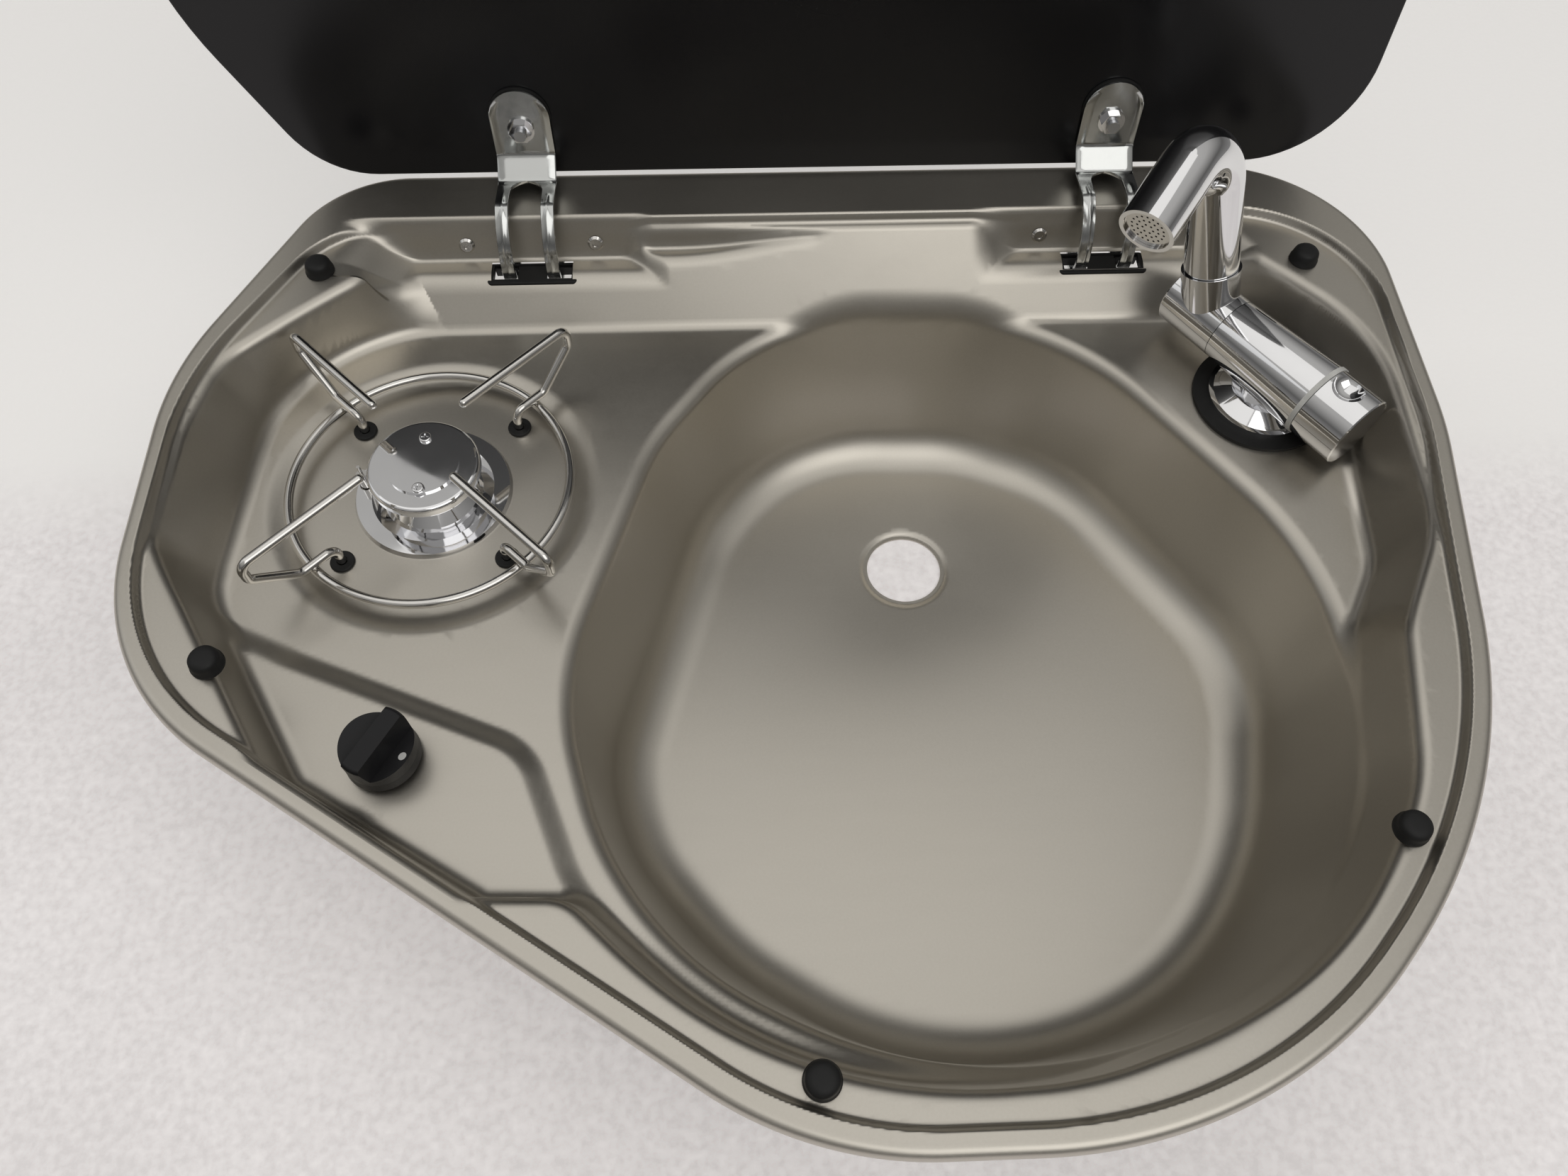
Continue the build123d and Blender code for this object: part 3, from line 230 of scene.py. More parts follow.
BOWL_TOP = [
    (-0.028, 0.363, 0.174), (-0.125, 0.191, 0.191), (-0.192, -0.080, 0.214), (-0.139, -0.321, 0.241),
    (0.090, -0.462, 0.322), (0.304, -0.372, 0.189), (0.403, -0.178, 0.276), (0.393, 0.049, 0.240),
    (0.255, 0.304, 0.238), (0.165, 0.357, 0.160)]
BOWL_FOOT = [
    (-0.016, 0.318, 0.186), (-0.092, 0.187, 0.154), (-0.173, -0.162, 0.138), (-0.071, -0.306, 0.215),
    (0.121, -0.467, 0.239), (0.331, -0.275, 0.269), (0.393, -0.004, 0.156), (0.256, 0.254, 0.154),
    (0.155, 0.308, 0.189)]
print("corners:", [len(shares) for shares in (RIM, CREST, WELL_TOP, WELL_FOOT, PLATEAU, BOWL_TOP, BOWL_FOOT)])

# %% [markdown]
# ## Distance to an outline
# A pocket's wall could be lofted between curves. Here it is worked out as a height over the plane instead.
# The distance from any point to a line of runs and arcs has an exact formula, which is negative inside,
# and that distance is all that is needed to raise a wall beside the outline.

# %% Runs and arcs
class Outline:
    """A closed line of straight runs and tangent arcs, in millimetres."""

    def __init__(self, shares):
        corner = np.array([(UNIT_W * x, UNIT_D * y) for x, y, r in shares])
        radius = [UNIT_W * r for x, y, r in shares]
        count = len(corner)
        self.arcs = []
        for i in range(count):
            back = corner[i - 1] - corner[i]
            on = corner[(i + 1) % count] - corner[i]
            back, on = back / np.hypot(*back), on / np.hypot(*on)
            half = math.acos(max(-1, min(1, back @ on))) / 2
            reach = radius[i] / math.tan(half)
            turn = 1 if back[0] * on[1] - back[1] * on[0] < 0 else -1
            middle = corner[i] + (back + on) / np.hypot(*(back + on)) * radius[i] / math.sin(half)
            self.arcs.append((middle, radius[i], corner[i] + back * reach, corner[i] + on * reach, turn))
        self.runs = [(arc[3], after[2]) for arc, after in zip(self.arcs, self.arcs[1:] + self.arcs[:1])]

    def distance(self, x, y):
        best = np.full(x.shape, 1e9)
        signed = np.zeros(x.shape)
        for a, b in self.runs:
            run = b - a
            t = np.clip(((x - a[0]) * run[0] + (y - a[1]) * run[1]) / (run @ run), 0, 1)
            dx, dy = x - a[0] - t * run[0], y - a[1] - t * run[1]
            away = np.hypot(dx, dy)
            near = away < best
            best = np.where(near, away, best)
            signed = np.where(near, away * np.sign(dx * run[1] - dy * run[0]), signed)
        for middle, radius, first, last, turn in self.arcs:
            dx, dy = x - middle[0], y - middle[1]
            away = np.hypot(dx, dy) - radius
            f, l = first - middle, last - middle
            inside_wedge = ((f[0] * dy - f[1] * dx) * turn >= 0) & ((dx * l[1] - dy * l[0]) * turn >= 0)
            near = inside_wedge & (np.abs(away) < best)
            best = np.where(near, np.abs(away), best)
            signed = np.where(near, away * turn, signed)
        return signed

    def walk(self, step):
        """Points along the outline and the directions out of it."""
        points, outward = [], []
        for (middle, radius, first, last, turn), (a, b) in zip(self.arcs, self.runs):
            f = math.atan2(*(first - middle)[::-1])
            sweep = (math.atan2(*(last - middle)[::-1]) - f) * turn % (2 * math.pi) * turn
            count = max(4, round(abs(sweep) * radius / step))
            for k in range(count + 1):
                angle = f + sweep * k / count
                way = np.array((math.cos(angle), math.sin(angle)))
                points.append(middle + way * radius)
                outward.append(way * turn)
            way = np.array(((b - a)[1], -(b - a)[0])) / np.hypot(*(b - a))
            count = round(np.hypot(*(b - a)) / step)
            for k in range(1, count):
                points.append(a + (b - a) * k / count)
                outward.append(way)
        return np.array(points), np.array(outward)


rim, crest, well_top, well_foot = (Outline(s) for s in (RIM, CREST, WELL_TOP, WELL_FOOT))
plateau, bowl_top, bowl_foot = (Outline(s) for s in (PLATEAU, BOWL_TOP, BOWL_FOOT))
middle = np.array([0.0])
print("from the unit's middle to the rim in mm:", round(float(-rim.distance(middle, middle)[0]), 1))

# %% [markdown]
# ## From outlines to a sheet
# A pressed wall runs from a line at its foot to a line at its top, and both lines were drawn by the die
# maker. Where the two lines lie far apart the wall leans back, and where they are close it stands up. A loft
# between the lines would need matching points. Two distances do the same without any: their difference is the
# width of the wall, which gives its lean, and each end of the wall gets a tangent arc.

# %% One wall from two lines
LEAST_WALL_RUN = 2.0


def climb(outside, lean, foot):
    """Height of a leaning wall at a distance outside its foot line, with a rounded foot."""
    reach = foot * np.tan((math.pi / 2 - lean) / 2)
    arc = foot - np.sqrt(np.maximum(foot * foot - np.clip(outside + reach, 0, foot * np.cos(lean)) ** 2, 0))
    line = foot - foot * np.sin(lean) + (outside + reach - foot * np.cos(lean)) / np.tan(lean)
    return np.where(outside + reach < foot * np.cos(lean), arc, line)


def wall(foot_line, top_line, x, y, depth, foot, roll):
    """Height below the upper edge of a pocket: nothing outside it, minus the depth on its floor."""
    a, b = foot_line.distance(x, y), top_line.distance(x, y)
    lean = np.arctan(np.maximum(a - b, LEAST_WALL_RUN) / depth)
    return np.where(a + b < 0, climb(a, lean, foot) - depth, -climb(-b, lean, roll))


def lower(a, b, blend):
    """The lower of two heights, rolled over where they cross."""
    h = np.clip(0.5 + 0.5 * (b - a) / blend, 0, 1)
    return b * (1 - h) + a * h - blend * h * (1 - h)


def upper(a, b, blend):
    return -lower(-a, -b, blend)


def ease(t):
    """A soft step from 0 to 1."""
    t = np.clip(t, 0, 1)
    return t * t * (3 - 2 * t)


print("height of a 15 degree wall 10 mm out:", round(float(climb(np.array(10.0), math.radians(15), 6)), 1))

# %% [markdown]
# ## The hinge shelves and the scoop
# The rear slope has a flat shelf at each hinge, where a slot lets the hinge arm through, and a long tapering
# scoop between them. Each could be cut out of the slope with a Boolean, which leaves sharp edges to bevel. As
# heights they are simple: a floor with a wall on each side, joined by the smooth maximum of the last cell.

# %% Pockets in the rear slope
REAR_FROM_Y, FAR_ABOVE = 172.0, 99.0
SHELF_Z = -19.0
SHELVES = [(-205.0, -70.0, -199.0, -90.0), (98.0, 217.0, 117.0, 207.0)]
SHELF_BACK_Y, SHELF_ENDS_FROM_Y, SHELF_ENDS_RUN = 197.5, 181.0, 16.0
SCOOP_LEFT, SCOOP_RIGHT, SCOOP_FRONT_Y, SCOOP_BACK_Y = -79.0, 8.0, 184.5, 197.0
SCOOP_Z, SCOOP_RISE, SCOOP_RISE_FROM, SCOOP_RISE_RUN = -12.5, 8.0, -65.0, 95.0


def bank(outside, degrees, foot):
    return climb(outside, math.radians(degrees), foot)


def shelf(x, y, left, right, left_rear, right_rear):
    """A flat step in the rear slope, with ends that slant towards the rear."""
    share = np.clip((y - SHELF_ENDS_FROM_Y) / SHELF_ENDS_RUN, 0, 1.5)
    start, end = left + (left_rear - left) * share, right + (right_rear - right) * share
    ends = upper(bank(start - x, 52, 9.0), bank(x - end, 40, 7.0), 3.0)
    pocket = SHELF_Z + upper(bank(y - SHELF_BACK_Y, 18, 3.0), ends, 12.0)
    return np.where(y > REAR_FROM_Y, pocket, FAR_ABOVE)


def scoop(x, y):
    """The long hollow between the two hinges, which grows shallower to the right."""
    floor_z = SCOOP_Z + SCOOP_RISE * ease((x - SCOOP_RISE_FROM) / SCOOP_RISE_RUN)
    sides = upper(bank(y - SCOOP_BACK_Y, 20, 3.0), bank(SCOOP_FRONT_Y - y, 55, 3.0), 4.0)
    ends = upper(bank(SCOOP_LEFT - x, 35, 9.0), bank(x - SCOOP_RIGHT, 60, 8.0), 2.0)
    return np.where(y > REAR_FROM_Y, floor_z + upper(sides, ends, 8.0), FAR_ABOVE)


shelf_middle = [np.array([sum(ends[:2]) / 2]) for ends in SHELVES]
shelf_heights = [float(shelf(x, np.array([190.0]), *ends)[0]) for x, ends in zip(shelf_middle, SHELVES)]
print("shelf heights at the slots in mm:", np.round(shelf_heights, 1))

# %% [markdown]
# ## Adding up the pockets
# The big well is sunk first, then the knob's plateau is raised on its floor, and the burner's dish is sunk
# into it. The bowl is one more wall, added below the deck, so its edge may run up the rear slope by itself.
# The hinge shelves and the scoop are cut where they lie lower than the slope. A plain minimum would leave a
# knife edge there. A smooth minimum rolls it over, as sheet metal does.

# %% Heights of the pressed sheet
CREST_Z, LEDGE_Z, DECK_Z, PLATEAU_Z, DISH_Z = 6.0, 1.0, -36.0, -31.0, -39.0
BOWL_Z, DRAIN_Z = -124.0, -127.0
HOB, DRAIN = (-182.3, 65.9), (56.0, 68.0)
EDGE_OUT, EDGE_LEAN, EDGE_FOOT = 1.8, 20, 2.0
WELL_BEND, WELL_ROLL, BOWL_BEND, BOWL_ROLL = 8.0, 6.0, 25.0, 9.0
DISH_R, PRESSED_STEP_W = 68.0, 13.0
FALL_TO_DRAIN, FALL_R, FALL_TOP, FALL_EASE = 2.4, 48.0, 12, 8
CONE_R, CONE_LEAN, CONE_FOOT, CONE_REACH = 22.6, 55, 1.5, 36


def bowl_height(x, y):
    """Height of the bowl below the deck, with a gentle fall to the drain and the drain's cone."""
    basin = wall(bowl_foot, bowl_top, x, y, DECK_Z - BOWL_Z, BOWL_BEND, BOWL_ROLL)
    away = np.hypot(x - DRAIN[0], y - DRAIN[1])
    on_floor = np.clip((BOWL_Z - DECK_Z + FALL_TOP - basin) / FALL_EASE, 0, 1)
    basin = basin - FALL_TO_DRAIN * np.exp(-((away / FALL_R) ** 2)) * on_floor
    cone = np.where(away < CONE_REACH, DRAIN_Z - DECK_Z + bank(away - CONE_R, CONE_LEAN, CONE_FOOT), 999.0)
    return lower(basin, cone, 1.0)


def sheet_height(x, y):
    """Height of the pressed sheet's upper face, in millimetres."""
    ledge = LEDGE_Z + bank(crest.distance(x, y) + EDGE_OUT, EDGE_LEAN, EDGE_FOOT)
    edge = lower(ledge, np.full(x.shape, CREST_Z), 2.0)
    well = wall(well_foot, well_top, x, y, LEDGE_Z - DECK_Z, WELL_BEND, WELL_ROLL)
    depth = -well / (LEDGE_Z - DECK_Z)
    away = np.hypot(x - HOB[0], y - HOB[1])
    raised = (PLATEAU_Z - DECK_Z) * ease(0.5 - plateau.distance(x, y) / PRESSED_STEP_W)
    sunk = (DISH_Z - DECK_Z) * (1 - ease((away - DISH_R) / PRESSED_STEP_W))
    pressed = edge + well + depth * (raised + sunk)
    for ends in SHELVES:
        pressed = lower(pressed, shelf(x, y, *ends), 6.0)
    return lower(pressed, scoop(x, y), 4.0) + bowl_height(x, y)


probe = sheet_height(np.array([60.0, -182.3, -185.0, 0.0]), np.array([-60.0, 65.9, -76.0, 225.0]))
print("bowl floor, hob dish, knob plateau and rear flange in mm:", np.round(probe, 1))

# %% [markdown]
# ## From points to a mesh
# Blender takes a mesh as a list of points and a list of faces. Every made piece needs the same few lines
# after that: soft shading, a finish, and a ride on the body it moves with. A swept edge or a turned cap is a
# row of rings, which a bevelled curve or a Screw modifier could make. Joined by hand, the rings stay exactly
# where the drawing puts them.

# %% Mesh helpers
def hold(name, body, verts, faces, finish, smooth=True):
    """An object made of points in metres, which rides on one of the CAD bodies."""
    mesh = bpy.data.meshes.new(name)
    mesh.from_pydata([tuple(v) for v in verts], [], [tuple(f) for f in faces])
    mesh.validate()
    if smooth:
        mesh.polygons.foreach_set("use_smooth", [True] * len(mesh.polygons))
    made = bpy.data.objects.new(name, mesh)
    bpy.context.scene.collection.objects.link(made)
    mesh.materials.append(finish)
    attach(made, body)
    return made


def joined_rings(rings):
    """The points of closed rings of equal length, and the faces between them."""
    size = len(rings[0])
    faces = []
    for r in range(len(rings) - 1):
        for k in range(size):
            a, b = r * size + k, r * size + (k + 1) % size
            faces.append((a, a + size, b + size, b))
    return np.concatenate(rings), faces


def turned(profile, x, y, sides):
    """Rings about an upright axis at x and y in metres, from a profile of radii and heights in millimetres."""
    turns = np.linspace(0, 2 * math.pi, sides, endpoint=False)
    return [np.column_stack([x + r * MM * np.cos(turns), y + r * MM * np.sin(turns), np.full(sides, z * MM)])
            for r, z in profile]


step_rings = turned([(1, 0), (2, 0), (2, 1)], 0, 0, 8)
print("faces between three rings of eight points:", len(joined_rings(step_rings)[1]))

# %% [markdown]
# ## Satin steel
# The tray is stainless steel with a fine, matt finish from the factory, wiped many times since. Such steel is
# a full metal with a middling roughness. One even value would look like grey plastic, so three noises vary
# it: a fine grain, broad clouds, and streaks that run with the wiping. The grain also gives a very shallow
# bump.

# %% The tray's satin steel
def satin_steel():
    steel = Finish("satin_steel", Metallic=1.0)
    grain = steel.speckle(900, 4)
    clouds = steel.speckle(9, 2)
    wipes = steel.speckle(30, 3, (1, 5, 1))
    rough = steel.ramp(clouds, 0.3, 0.7, 0.345, 0.405) + (grain - 0.5) * 0.10 + (wipes - 0.5) * 0.03
    share = steel.ramp(clouds * 0.6 + grain * 0.4, 0.3, 0.7)
    colour = steel.tint(share, (0.515, 0.485, 0.43), (0.575, 0.545, 0.49))
    return steel.feed(Base_Color=colour, Roughness=rough, Normal=steel.bump(grain, 0.00002, 0.35))


STEEL = satin_steel()
print("finish:", STEEL.name)

# %% [markdown]
# ## Which cells the sheet needs
# A height over a grid makes the inside of the tray. An even grid that is fine enough for the bends would be
# huge. A Decimate modifier could thin it out afterwards, but it moves points and roughens the highlights.
# Here large cells are split only where the sheet bends, so the flat floors cost next to nothing.

# %% Cells by size
FINE = 0.8
CELL_SIZES = (8, 4, 2, 1)


def bowing(z, size):
    """How far each block of cells departs from the surface through its four corners."""
    rows, cols = (z.shape[0] - 1) // size, (z.shape[1] - 1) // size

    def pick(j, i):
        return z[j:j + rows * size:size, i:i + cols * size:size]

    worst = np.zeros((rows, cols))
    for j in range(size + 1):
        for i in range(size + 1):
            u, v = i / size, j / size
            front = (1 - u) * pick(0, 0) + u * pick(0, size)
            rear = (1 - u) * pick(size, 0) + u * pick(size, size)
            worst = np.maximum(worst, np.abs(pick(j, i) - ((1 - v) * front + v * rear)))
    return worst


def split_cells(z, slack):
    """Cells by size: each block is kept as large as its bowing allows."""
    found, taken = {}, None
    for size in CELL_SIZES:
        flat = bowing(z, size) <= slack if size > 1 else np.full((z.shape[0] - 1, z.shape[1] - 1), True)
        if taken is not None:
            taken = taken.repeat(2, 0).repeat(2, 1)
            flat &= ~taken
        found[size] = np.argwhere(flat) * size
        taken = flat if taken is None else flat | taken
    return found


print("finest cell in mm:", FINE, "cells in a flat sheet of 16 by 16 steps:",
      {size: len(cells) for size, cells in split_cells(np.zeros((17, 17)), 0.1).items()})

# %% [markdown]
# ## Holes in the sheet
# The press punches the drain, the burner's seat, the tap's seat, the spindle's hole, four holes for the pan
# support's feet and two hinge slots. All but the drain lie hidden under a part, so leaving out the cells over
# them is enough. A Boolean would cut them cleanly, but it would also break up the smooth grid around each
# one. The drain's edge is seen, so the points beside it are moved onto its circle, and the border onto the
# rim's outline.

# %% Holes and the tray's border
DRAIN_HOLE_R = 20.4
BURNER_HOLE_R, TAP_SEAT, SPINDLE_SEAT = 18.0, (234.0, 110.5, 17.5), (-185.0, -76.0, 4.2)
LEG_CIRCLE_R, LEG_HOLE_R = 54.5, 4.3
LEG_ANGLES = [math.radians(a) for a in (45, 135, 225, 315)]
LEG_SEATS = [(HOB[0] + LEG_CIRCLE_R * math.cos(a), HOB[1] + LEG_CIRCLE_R * math.sin(a), LEG_HOLE_R)
             for a in LEG_ANGLES]
ROUND_HOLES = [(*DRAIN, DRAIN_HOLE_R), (*HOB, BURNER_HOLE_R), TAP_SEAT, SPINDLE_SEAT, *LEG_SEATS]
HINGE_X = {"left": -139.5, "right": 161.5}
SLOTS = [(x, 190.5, 21.0, 5.4) for x in HINGE_X.values()]
SEAM_IN = 5.2
BORDER_W = FINE * 1.6


def past_seam(x, y):
    """Distance past the seam with the rolled edge, a little inside the rim's outline."""
    return rim.distance(x, y) + SEAM_IN


def hole_distance(x, y):
    nearest = np.full(x.shape, 1e9)
    for px, py, r in ROUND_HOLES:
        nearest = np.minimum(nearest, np.hypot(x - px, y - py) - r)
    for px, py, half_x, half_y in SLOTS:
        nearest = np.minimum(nearest, np.maximum(np.abs(x - px) - half_x, np.abs(y - py) - half_y))
    return nearest


def onto_seam(x, y, near, probe_step=0.01):
    """Two steps down the slope of the distance carry the border's points onto the seam."""
    for _ in range(2):
        shift = past_seam(x, y)
        gx = (past_seam(x + probe_step, y) - shift) / probe_step
        gy = (past_seam(x, y + probe_step) - shift) / probe_step
        x, y = np.where(near, x - gx * shift, x), np.where(near, y - gy * shift, y)
    return x, y


def onto_drain(x, y, edge, hub):
    grow = DRAIN_HOLE_R / np.maximum(hub, 1)
    x = np.where(edge, DRAIN[0] + (x - DRAIN[0]) * grow, x)
    return x, np.where(edge, DRAIN[1] + (y - DRAIN[1]) * grow, y)


print("round holes:", len(ROUND_HOLES), "slots:", len(SLOTS))

# %% [markdown]
# ## The inside of the tray
# Where a large cell meets small ones, a plain square would leave a crack. So a large cell takes the corners
# of its small neighbours into its own edge and becomes a face of more than four sides. Soft shading normally
# averages the faces round a point, which shows uneven cells as faint stains in a highlight. The slope of the
# height formula gives the true direction at each point, so it is written onto the mesh instead.

# %% Faces and shading of the sheet
GRID_BOX = (606.0, 486.0)
SLACK = 0.07
ALWAYS_FINE = 1e6


def cell_faces(cells, used, gone, near, edge):
    """Faces of the cells that lie inside the border and outside the holes."""
    number = np.arange(used.size).reshape(used.shape)
    faces = []
    for size, corners in cells.items():
        at = [(corners[:, 0] + j, corners[:, 1] + i) for j, i in ((0, 0), (0, size), (size, size), (size, 0))]
        alive = ~np.any([gone[a] for a in at], 0)
        alive &= ~np.all([near[a] for a in at], 0) & ~np.all([edge[a] for a in at], 0)
        if size == 1:
            faces += np.stack([number[a] for a in at], 1)[alive].tolist()
            continue
        ring = [(0, k) for k in range(size)] + [(k, size) for k in range(size)]
        ring += [(size, size - k) for k in range(size)] + [(size - k, 0) for k in range(size)]
        there = np.stack([used[corners[:, 0] + j, corners[:, 1] + i] for j, i in ring], 1)
        ids = np.stack([number[corners[:, 0] + j, corners[:, 1] + i] for j, i in ring], 1)
        faces += [row[mask].tolist() for row, mask, good in zip(ids, there, alive) if good]
    return faces


def sheet_normals(x, y, probe_step=0.05):
    slope_x = (sheet_height(x + probe_step, y) - sheet_height(x - probe_step, y)) / (2 * probe_step)
    slope_y = (sheet_height(x, y + probe_step) - sheet_height(x, y - probe_step)) / (2 * probe_step)
    normal = np.stack([-slope_x, -slope_y, np.ones_like(x)], 1)
    return normal / np.linalg.norm(normal, axis=1)[:, None]


def build_tray():
    wide, high = (math.ceil(s / FINE / CELL_SIZES[0]) * CELL_SIZES[0] for s in GRID_BOX)
    x, y = np.meshgrid((np.arange(wide + 1) - wide / 2) * FINE, (np.arange(high + 1) - high / 2) * FINE)
    out, hole = past_seam(x, y), hole_distance(x, y)
    beside_edge = (np.abs(out) < 3 * FINE) | (np.abs(hole) < 3 * FINE)
    cells = split_cells(np.where(beside_edge, ALWAYS_FINE * (x + y * y), sheet_height(x, y)), SLACK)
    used = np.zeros(x.shape, bool)
    for size, corners in cells.items():
        for j, i in ((0, 0), (0, size), (size, size), (size, 0)):
            used[corners[:, 0] + j, corners[:, 1] + i] = True
    near = (out > 0) & (out < BORDER_W)
    x, y = onto_seam(x, y, near)
    hub = np.hypot(x - DRAIN[0], y - DRAIN[1])
    edge = (hub < DRAIN_HOLE_R) & (hub > DRAIN_HOLE_R - BORDER_W)
    x, y = onto_drain(x, y, edge, hub)
    gone = (out >= BORDER_W) | ((hole < 0) & ~edge)
    faces = cell_faces(cells, used, gone, near, edge)
    kept = np.unique(np.concatenate(faces))
    index = np.full(x.size, -1)
    index[kept] = np.arange(len(kept))
    px, py = x.ravel()[kept], y.ravel()[kept]
    verts = np.stack([px, py, sheet_height(px, py)], 1) * MM
    made = hold("tray_sheet", "base", verts.tolist(), [index[f].tolist() for f in faces], STEEL)
    made.data.normals_split_custom_set_from_vertices(sheet_normals(px, py).tolist())
    return made


tray_sheet = build_tray()
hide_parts("tray")
tray_sheet.data.calc_loop_triangles()
print("tray sheet faces:", len(tray_sheet.data.polygons), "triangles:", len(tray_sheet.data.loop_triangles))

# %% [markdown]
# ## The rolled outer edge
# The edge of the tray is rolled over and stands upright on the worktop, so it can't be a height over the
# plane. A curve with a bevel profile could follow the rim, but it would have to be fitted to the outline's
# arcs. Walking along the same outline and laying the profile at each step keeps the edge and the sheet in
# line.

# %% Profile swept round the rim
SHEET_T, ROLL_R = 0.9, 4.0
ROLL_Z = CREST_Z - ROLL_R


def roll_arc(radius, degrees):
    """Distance outside the rim and height, at angles from the top of the roll."""
    turns = [math.radians(a) for a in degrees]
    return [(radius * math.sin(t) - ROLL_R, ROLL_Z + radius * math.cos(t)) for t in turns]


def build_rim_roll():
    """The profile runs over the top, down the outer face, round the cut foot and up the inner face."""
    points, outward = rim.walk(2.0)
    profile = [(-7.0, 5.9), (-5.6, 5.99), (-ROLL_R, CREST_Z), *roll_arc(ROLL_R, range(10, 91, 10))]
    profile += [(0.0, 1.0), (-0.1, 0.2), (-0.3, 0.0), (-0.7, 0.0), (-SHEET_T, 0.3), (-SHEET_T, ROLL_Z)]
    profile += roll_arc(ROLL_R - SHEET_T, range(75, -1, -15))
    rings = [np.column_stack([points + outward * d, np.full(len(points), z)]) * MM for d, z in profile]
    return hold("tray_rim", "base", *joined_rings(rings), STEEL)


tray_rim = build_rim_roll()
print("rim roll faces:", len(tray_rim.data.polygons))

# %% [markdown]
# ## The drain's cut edge
# The tray's sheet is modelled as one face without its thickness. That shows only where the eye meets a cut
# edge, which here is the drain hole. A Solidify modifier would double every face of the tray for the sake of
# that one line, so a short turned lip gives the hole its thickness instead.

# %% Lip of the drain
def build_drain_lip():
    profile = [(DRAIN_HOLE_R, DRAIN_Z), (DRAIN_HOLE_R - 0.02, DRAIN_Z - SHEET_T / 2),
               (DRAIN_HOLE_R, DRAIN_Z - SHEET_T), (DRAIN_HOLE_R + 3, DRAIN_Z - SHEET_T)]
    return hold("drain_lip", "base", *joined_rings(turned(profile, DRAIN[0] * MM, DRAIN[1] * MM, 96)), STEEL)


drain_lip = build_drain_lip()
print("drain lip faces:", len(drain_lip.data.polygons))

# %% [markdown]
# ## Chrome, polished steel and black glass
# Bright chrome is a mirror, so it shows the room more than itself. A trace of roughness and a faint grain
# keep it real. The pan support is polished steel, which is a little darker and blurs what it mirrors. The lid
# is black glass. It could be real see-through glass over a black back, at the cost of much slower light. A
# dark body with a smooth face looks the same from outside.

# %% Finishes that mirror the room
def chrome():
    bright = Finish("bright_chrome", Metallic=1.0)
    haze = bright.speckle(60, 2)
    return bright.feed(
        Base_Color=bright.tint(haze, (0.78, 0.78, 0.79), (0.84, 0.84, 0.85)),
        Roughness=bright.ramp(haze, 0.3, 0.7, 0.035, 0.075))


def polished_steel():
    steel = Finish("polished_steel", Metallic=1.0)
    lines = steel.speckle(500, 3)
    clouds = steel.speckle(40, 2)
    return steel.feed(
        Base_Color=steel.tint(clouds, (0.62, 0.605, 0.58), (0.70, 0.685, 0.66)),
        Roughness=steel.ramp(clouds, 0.3, 0.7, 0.10, 0.17) + (lines - 0.5) * 0.05)


def black_glass():
    glass = Finish("black_glass", IOR=1.52, Specular_IOR_Level=0.3)
    dust = glass.speckle(700, 4)
    clouds = glass.speckle(6, 2)
    return glass.feed(
        Base_Color=glass.tint(clouds, (0.006, 0.006, 0.007), (0.010, 0.010, 0.011)),
        Roughness=glass.ramp(clouds, 0.3, 0.7, 0.16, 0.24) + glass.ramp(dust, 0.62, 0.75, 0.0, 0.05))


CHROME, POLISHED, GLASS = chrome(), polished_steel(), black_glass()
print("finishes:", [m.name for m in (CHROME, POLISHED, GLASS)])

# %% [markdown]
# ## Rubber, plastics and plain metals
# Rubber and moulded plastic scatter light, with a rough skin of small pits. Paint is near enough to them
# here. Brass, plated steel and cast aluminium differ only in colour and roughness, and carry the same dull
# grain. Two recipes with a name, a colour and a roughness therefore cover nine finishes.

# %% Finishes for the small parts
def matt_skin(name, colour, rough):
    skin = Finish(name, Specular_IOR_Level=0.25)
    pits = skin.speckle(1600, 3)
    clouds = skin.speckle(150, 2)
    return skin.feed(
        Base_Color=skin.tint(clouds, colour, tuple(c * 1.6 for c in colour)),
        Roughness=skin.ramp(clouds, 0.3, 0.7, rough - 0.06, rough + 0.06),
        Normal=skin.bump(pits, 0.00008, 0.5))


def plain_metal(name, colour, rough):
    metal = Finish(name, Metallic=1.0)
    grain = metal.speckle(700, 3)
    clouds = metal.speckle(90, 2)
    return metal.feed(
        Base_Color=metal.tint(clouds, tuple(c * 0.85 for c in colour), colour),
        Roughness=metal.ramp(clouds, 0.3, 0.7, rough - 0.06, rough + 0.06) + (grain - 0.5) * 0.08,
        Normal=metal.bump(grain, 0.00002, 0.3))


RUBBER = matt_skin("black_rubber", (0.012, 0.012, 0.012), 0.52)
KNOB_PLASTIC = matt_skin("knob_plastic", (0.011, 0.011, 0.012), 0.42)
SEAL_FOAM = matt_skin("seal_foam", (0.02, 0.02, 0.021), 0.8)
BRASS = plain_metal("brass", (0.70, 0.49, 0.20), 0.32)
ZINC = plain_metal("zinc_plate", (0.62, 0.63, 0.65), 0.34)
ALUMINIUM = plain_metal("cast_aluminium", (0.66, 0.66, 0.66), 0.42)
PLATED = plain_metal("plated_steel", (0.60, 0.61, 0.60), 0.16)
WHITE_PAINT = matt_skin("white_paint", (0.42, 0.42, 0.41), 0.5)
PALE_PLASTIC = matt_skin("pale_plastic", (0.50, 0.50, 0.48), 0.35)
print("matt finishes:", [m.name for m in (RUBBER, KNOB_PLASTIC, SEAL_FOAM, WHITE_PAINT, PALE_PLASTIC)])
print("metal finishes:", [m.name for m in (BRASS, ZINC, ALUMINIUM, PLATED)])

